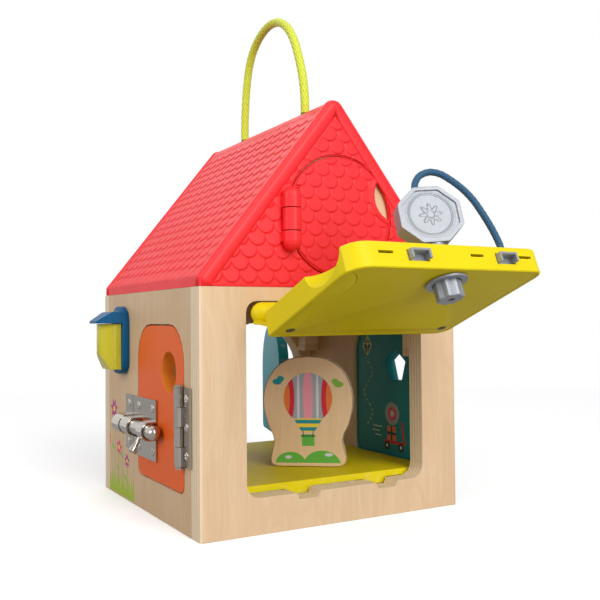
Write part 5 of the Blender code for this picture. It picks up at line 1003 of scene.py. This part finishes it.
def verge_rolls():
    """Rounded rolls along both gables' verges, over the solid's corner."""
    for name, start, inward in (("verge_roll_front", ROOF_FRONT, 1),
                                ("verge_roll_back", ROOF_BACK, -1)):
        rings = []
        for inset, depth in roll_profile():
            x, z = verge_path(inset).T
            rings.append(np.column_stack([x, np.full(len(x), start + inward * depth), z]))
        around, count = len(rings), len(rings[0])
        index = np.arange(around * count).reshape(around, count)
        quads = corners(np.vstack([index, index[:1]]))[..., TURNED].reshape(-1, 4)
        faces = quads[:, ::inward].tolist()
        ends = [index[::inward, 0].tolist(), index[::-inward, -1].tolist()]
        add_object(name, np.vstack(rings), faces + ends, RED_PLASTIC, "house", "red_plastic",
                   len(faces))


DISC_X = 0.003
DISC_Z = 0.203
DISC_RADIUS = 0.0403
DISC_GAP = 0.0014
GABLE_TILE = 0.0015
DISC_TILE = 0.0013
PANEL_DEPTH = 0.0008
PANEL_FOOT_Z = 0.1573
PANEL_PEAK_Z = ROOF_PEAK_Z - VERGE / SLOPE_COS
SLOT_X = -0.0284
SLOT_LOW_Z = 0.1772
SLOT_HIGH_Z = 0.2215
CRESCENT_TURN = radians(20.0)
CRESCENT_FROM_DISC = 0.0478
RIM_INSIDE = 0.0176
RIM_CREST = 0.0192
RIM_HALF = 0.0021
RIM_HEIGHT = 0.0019


def back_outline(u, v):
    """Distance outside the gable's field, which reaches from roll to roll and down to the
    roof's foot."""
    peak = ROOF_PEAK_Z - (ROLL_INSET - 0.0002) / SLOPE_COS
    slope = (v - peak) * SLOPE_COS + np.abs(u) * SLOPE_SIN
    return np.maximum(slope, ROOF_BASE_Z + 0.0002 - v)


def gable_outline(u, v):
    """Distance outside the gable's field or inside the disc."""
    disc = DISC_RADIUS + DISC_GAP - np.hypot(u - DISC_X, v - DISC_Z)
    return np.maximum(back_outline(u, v), disc)


def gable_height(u, v):
    """Tiles over the recess, whose hidden plane is the recess. Over the border round it
    they are cut off just above the border."""
    inside = (v - PANEL_PEAK_Z) * SLOPE_COS + np.abs(u) * SLOPE_SIN
    border = np.maximum(inside, PANEL_FOOT_Z - v) > -0.0002
    floor = np.where(border, PANEL_DEPTH + BAND_COVER, 0.0)
    height = np.where(v < PANEL_FOOT_Z, 0.0, tiles(u, v - PANEL_FOOT_Z, GABLE_TILE))
    return np.maximum(height + 0.0001, floor)


def from_crescent(u, v):
    """Distance from the middle of the circle that cuts the crescent."""
    centre_u = DISC_X + CRESCENT_FROM_DISC * cos(CRESCENT_TURN)
    centre_v = DISC_Z + CRESCENT_FROM_DISC * sin(CRESCENT_TURN)
    return np.hypot(u - centre_u, v - centre_v)


def disc_edge(u, v):
    """Distance outside the disc, or inside the slots round the capsule hinge."""
    disc = np.hypot(u - DISC_X, v - DISC_Z) - (DISC_RADIUS - 0.0007)
    slot = np.minimum(SLOT_X - u, np.minimum(v - SLOT_LOW_Z, SLOT_HIGH_Z - v))
    return np.maximum(disc, slot)


def disc_outline(u, v):
    """Distance outside the disc's tiled face, which ends inside the crescent's rim."""
    return np.maximum(disc_edge(u, v), RIM_INSIDE - from_crescent(u, v))


def disc_height(u, v):
    """Tiles that sink at the disc's edge, and the half round of the crescent's rim."""
    edge = np.sqrt(np.clip(-disc_edge(u, v) / 0.0008, 0, 1))
    across = (from_crescent(u, v) - RIM_CREST) / RIM_HALF
    rim = RIM_HEIGHT * np.sqrt(np.clip(1 - across * across, 0, 1))
    return np.maximum(tiles(u, v - PANEL_FOOT_Z, DISC_TILE), rim) * edge + 0.00002


def gable_skins():
    """Tiled skins in the recessed gables and on the attic door."""
    spans = ((-0.092, 0.092), (ROOF_BASE_Z, ROOF_PEAK_Z - ROLL_INSET / SLOPE_COS))
    red_skin("gable_tiles_front", "house", (0, ROOF_FRONT + PANEL_DEPTH, 0), (1, 0, 0),
             (0, 0, 1), spans, 0.00052, gable_height, gable_outline)
    red_skin("gable_tiles_back", "house", (0, ROOF_BACK - PANEL_DEPTH, 0), (-1, 0, 0),
             (0, 0, 1), spans, 0.0006, gable_height, back_outline)
    spans = [(middle - DISC_RADIUS, middle + DISC_RADIUS) for middle in (DISC_X, DISC_Z)]
    red_skin("attic_door_tiles", "attic_door", (0, ROOF_FRONT, 0), (1, 0, 0), (0, 0, 1),
             spans, 0.0005, disc_height, disc_outline)


TAB_PLACES = (-0.024, 0.038)
TAB_LEFT = 0.009
TAB_RIGHT = 0.011
TAB_LEAN = 0.002
TAB_FRONT = 0.0096
TAB_LENGTH = 0.008
TAB_FOOT = 0.0186
TAB_TOP = 0.0227
# Faces of a prism over four corners, whose points are its front and then its back.
PRISM = np.array([(0, 1, 2, 3), (7, 6, 5, 4), (0, 4, 5, 1), (1, 5, 6, 2), (2, 6, 7, 3),
                  (3, 7, 4, 0)])


def floor_tabs():
    """Tabs with leaning ends under the floor board's front edge, seen in the notches."""
    outline = [(-TAB_LEFT, TAB_TOP), (TAB_LEAN - TAB_LEFT, TAB_FOOT),
               (TAB_RIGHT - TAB_LEAN, TAB_FOOT), (TAB_RIGHT, TAB_TOP)]
    points = [(place + x, y, z) for place in TAB_PLACES
              for y in (TAB_FRONT, TAB_FRONT + TAB_LENGTH) for x, z in outline]
    add_object("floor_tabs", points, np.vstack([PRISM, PRISM + 8]).tolist(), FLOOR_ENAMEL,
               "house", "floor_paint", 0)


def rounded_copy(node, round_off, turn=32.0):
    """A copy of a solid's mesh that stands for it: loose triangles are joined, each flat
    area becomes one face, edges that turn by more than an angle get a small round, and
    the rest is shaded smooth."""
    source = NODES[node]
    work = bmesh.new()
    work.from_mesh(source.data)
    bmesh.ops.remove_doubles(work, verts=work.verts, dist=1e-6)
    bmesh.ops.dissolve_limit(work, angle_limit=radians(0.8), verts=work.verts,
                             edges=work.edges)
    mesh = bpy.data.meshes.new(node + "_rounded")
    work.to_mesh(mesh)
    work.free()
    mesh.polygons.foreach_set("use_smooth", np.ones(len(mesh.polygons), bool))
    mesh.set_sharp_from_angle(angle=radians(turn))
    mesh.materials.clear()
    mesh.materials.append(source.material_slots[0].material)
    piece = linked(node + "_rounded", mesh)
    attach(piece, source["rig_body"])
    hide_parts(node)
    bevel = piece.modifiers.new("round", "BEVEL")
    bevel.width = round_off
    bevel.segments = 2
    bevel.limit_method = "ANGLE"
    bevel.angle_limit = radians(turn)
    bevel.harden_normals = True


# Solids by the width of the rounds on their copies.
ROUNDS = {
    0.0003: "front_door_cover lock_sleeve lock_collar latch_bar bolt_rod bolt_handle",
    0.0004: "lamp_bracket lamp_lens left_door right_door back_door",
    0.0005: "front_hinge_bracket key turn_button",
    0.0006: "front_door_shell figurine",
}
for width, rounded in ROUNDS.items():
    for node in rounded.split():
        rounded_copy(node, width)

floor_tabs()
roof_slopes()
verge_rolls()
gable_skins()


# ------ screws and key

SCREW_RADIUS = 0.0029
LEFT, RIGHT, BACK, UNDER = (-1, 0, 0), (1, 0, 0), (0, 1, 0), (0, 0, -1)
DOOR_INSIDE = (0, -0.369747, -0.929133)
OPEN_LEAF = (0.956305, -0.292372, 0)


def column(x, y, outward, heights=(0.0499, 0.0676, 0.0852)):
    """Screws above each other, by default those of a hinge leaf."""
    return [((x, y, z), outward) for z in heights]


# Middle of each screw's head, and the way it faces, by the body that it rides on.
SCREWS = {
    "house": column(-0.102, 0.0109, LEFT) + column(0.102, 0.0109, RIGHT)
    + column(0.0863, 0.195, BACK) + column(-0.1018, 0.1237, LEFT, (0.0462, 0.0738))
    + [((x, 0.0013, 0.1381), UNDER) for x in (-0.0147, 0.0147)]
    + [((-0.0175, 0.1997, 0.078), BACK)],
    "left_door": column(-0.102, 0.0265, LEFT) + column(-0.1018, 0.0732, LEFT, (0.0442, 0.0738))
    + column(-0.1018, 0.1024, LEFT, (0.0442, 0.0738)),
    "right_door": column(0.102, 0.0265, RIGHT),
    "back_door": column(0.0795, 0.2041, OPEN_LEAF),
    "front_door": [((x, -0.0435, 0.1276), DOOR_INSIDE) for x in (-0.0573, 0.0573)],
}


def screw_height(u, v):
    """Shallow dome less a cross: two bars that get narrower and shallower outwards."""
    run = np.hypot(u, v)
    dome = 0.00085 - 0.0006 * (run / SCREW_RADIUS) ** 2
    wide = 0.0005 - 0.1 * run
    bar = np.minimum(np.abs(u), np.abs(v))
    cross = np.clip((wide - bar) / 0.00012, 0, 1) * np.clip((0.00185 - run) / 0.0003, 0, 1)
    return dome - 0.0004 * cross


def round_relief(place, across, up, radius, spacing, height):
    """A round relief about a place."""
    return relief(place, across, up, ((-radius, radius),) * 2, spacing, height,
                  lambda u, v: np.hypot(u, v) - radius)


def screw_heads():
    """Cross-recessed heads over the plain ones, turned each by its own angle."""
    count = 0
    for body, screws in SCREWS.items():
        points, faces = np.empty((0, 3)), []
        for place, outward in screws:
            outward = Vector(outward).normalized()
            guide = Vector((0, 0, 1)) if abs(outward.z) < 0.9 else Vector((1, 0, 0))
            across = guide.cross(outward).normalized()
            across.rotate(Matrix.Rotation(count * 0.9 + 0.4, 3, outward))
            made, quads, _ = round_relief(Vector(place) - outward * 0.0004, across,
                                          outward.cross(across), SCREW_RADIUS, 0.00018,
                                          screw_height)
            faces += [[k + len(points) for k in face] for face in quads]
            points = np.vstack([points, made])
            count += 1
        # The front door's screws, in the wells of its underside, get the dark copy of the steel as
        # painted shade.
        steel, slot = (WELL_SHADE_STEEL, "yellow_plastic") if body == "front_door" else (NICKEL, "nickel")
        add_object("screw_heads_" + body, points, faces, steel, body, slot)


KEY_FACE_RADIUS = 0.0146
KEY_RING_RADIUS = 0.0128


def key_face_height(u, v):
    """Shallow embossing: a ring, and inside it a blossom of eight petals."""
    run = np.hypot(u, v)
    angle = np.arctan2(v, u)
    ring = np.clip(1 - np.abs(run - KEY_RING_RADIUS) / 0.0006, 0, 1)
    petal = 0.007 * (0.74 + 0.26 * np.cos(8 * angle))
    blossom = np.clip((petal - run) / 0.0008, 0, 1) * np.clip((run - 0.0021) / 0.0006, 0, 1)
    return 0.00003 + 0.00042 * np.sqrt(np.maximum(ring, 0.8 * blossom))


def key_face():
    """Embossed plate in the face of the key's head that looks at the camera."""
    centre = raised([by_key(0, 0.0245, -0.0045)])[0]
    start, along_head, forward = raised([by_key(0, 0, 0), by_key(1, 0, 0), by_key(0, 0, -1)], 0)
    across, outward = along_head - start, forward - start
    points, faces, top = round_relief(centre, across, np.cross(outward, across),
                                      KEY_FACE_RADIUS, 0.0003, key_face_height)
    add_object("key_head_embossing", points, faces, GREY_PLASTIC, "key", "grey_plastic", top)


screw_heads()
key_face()
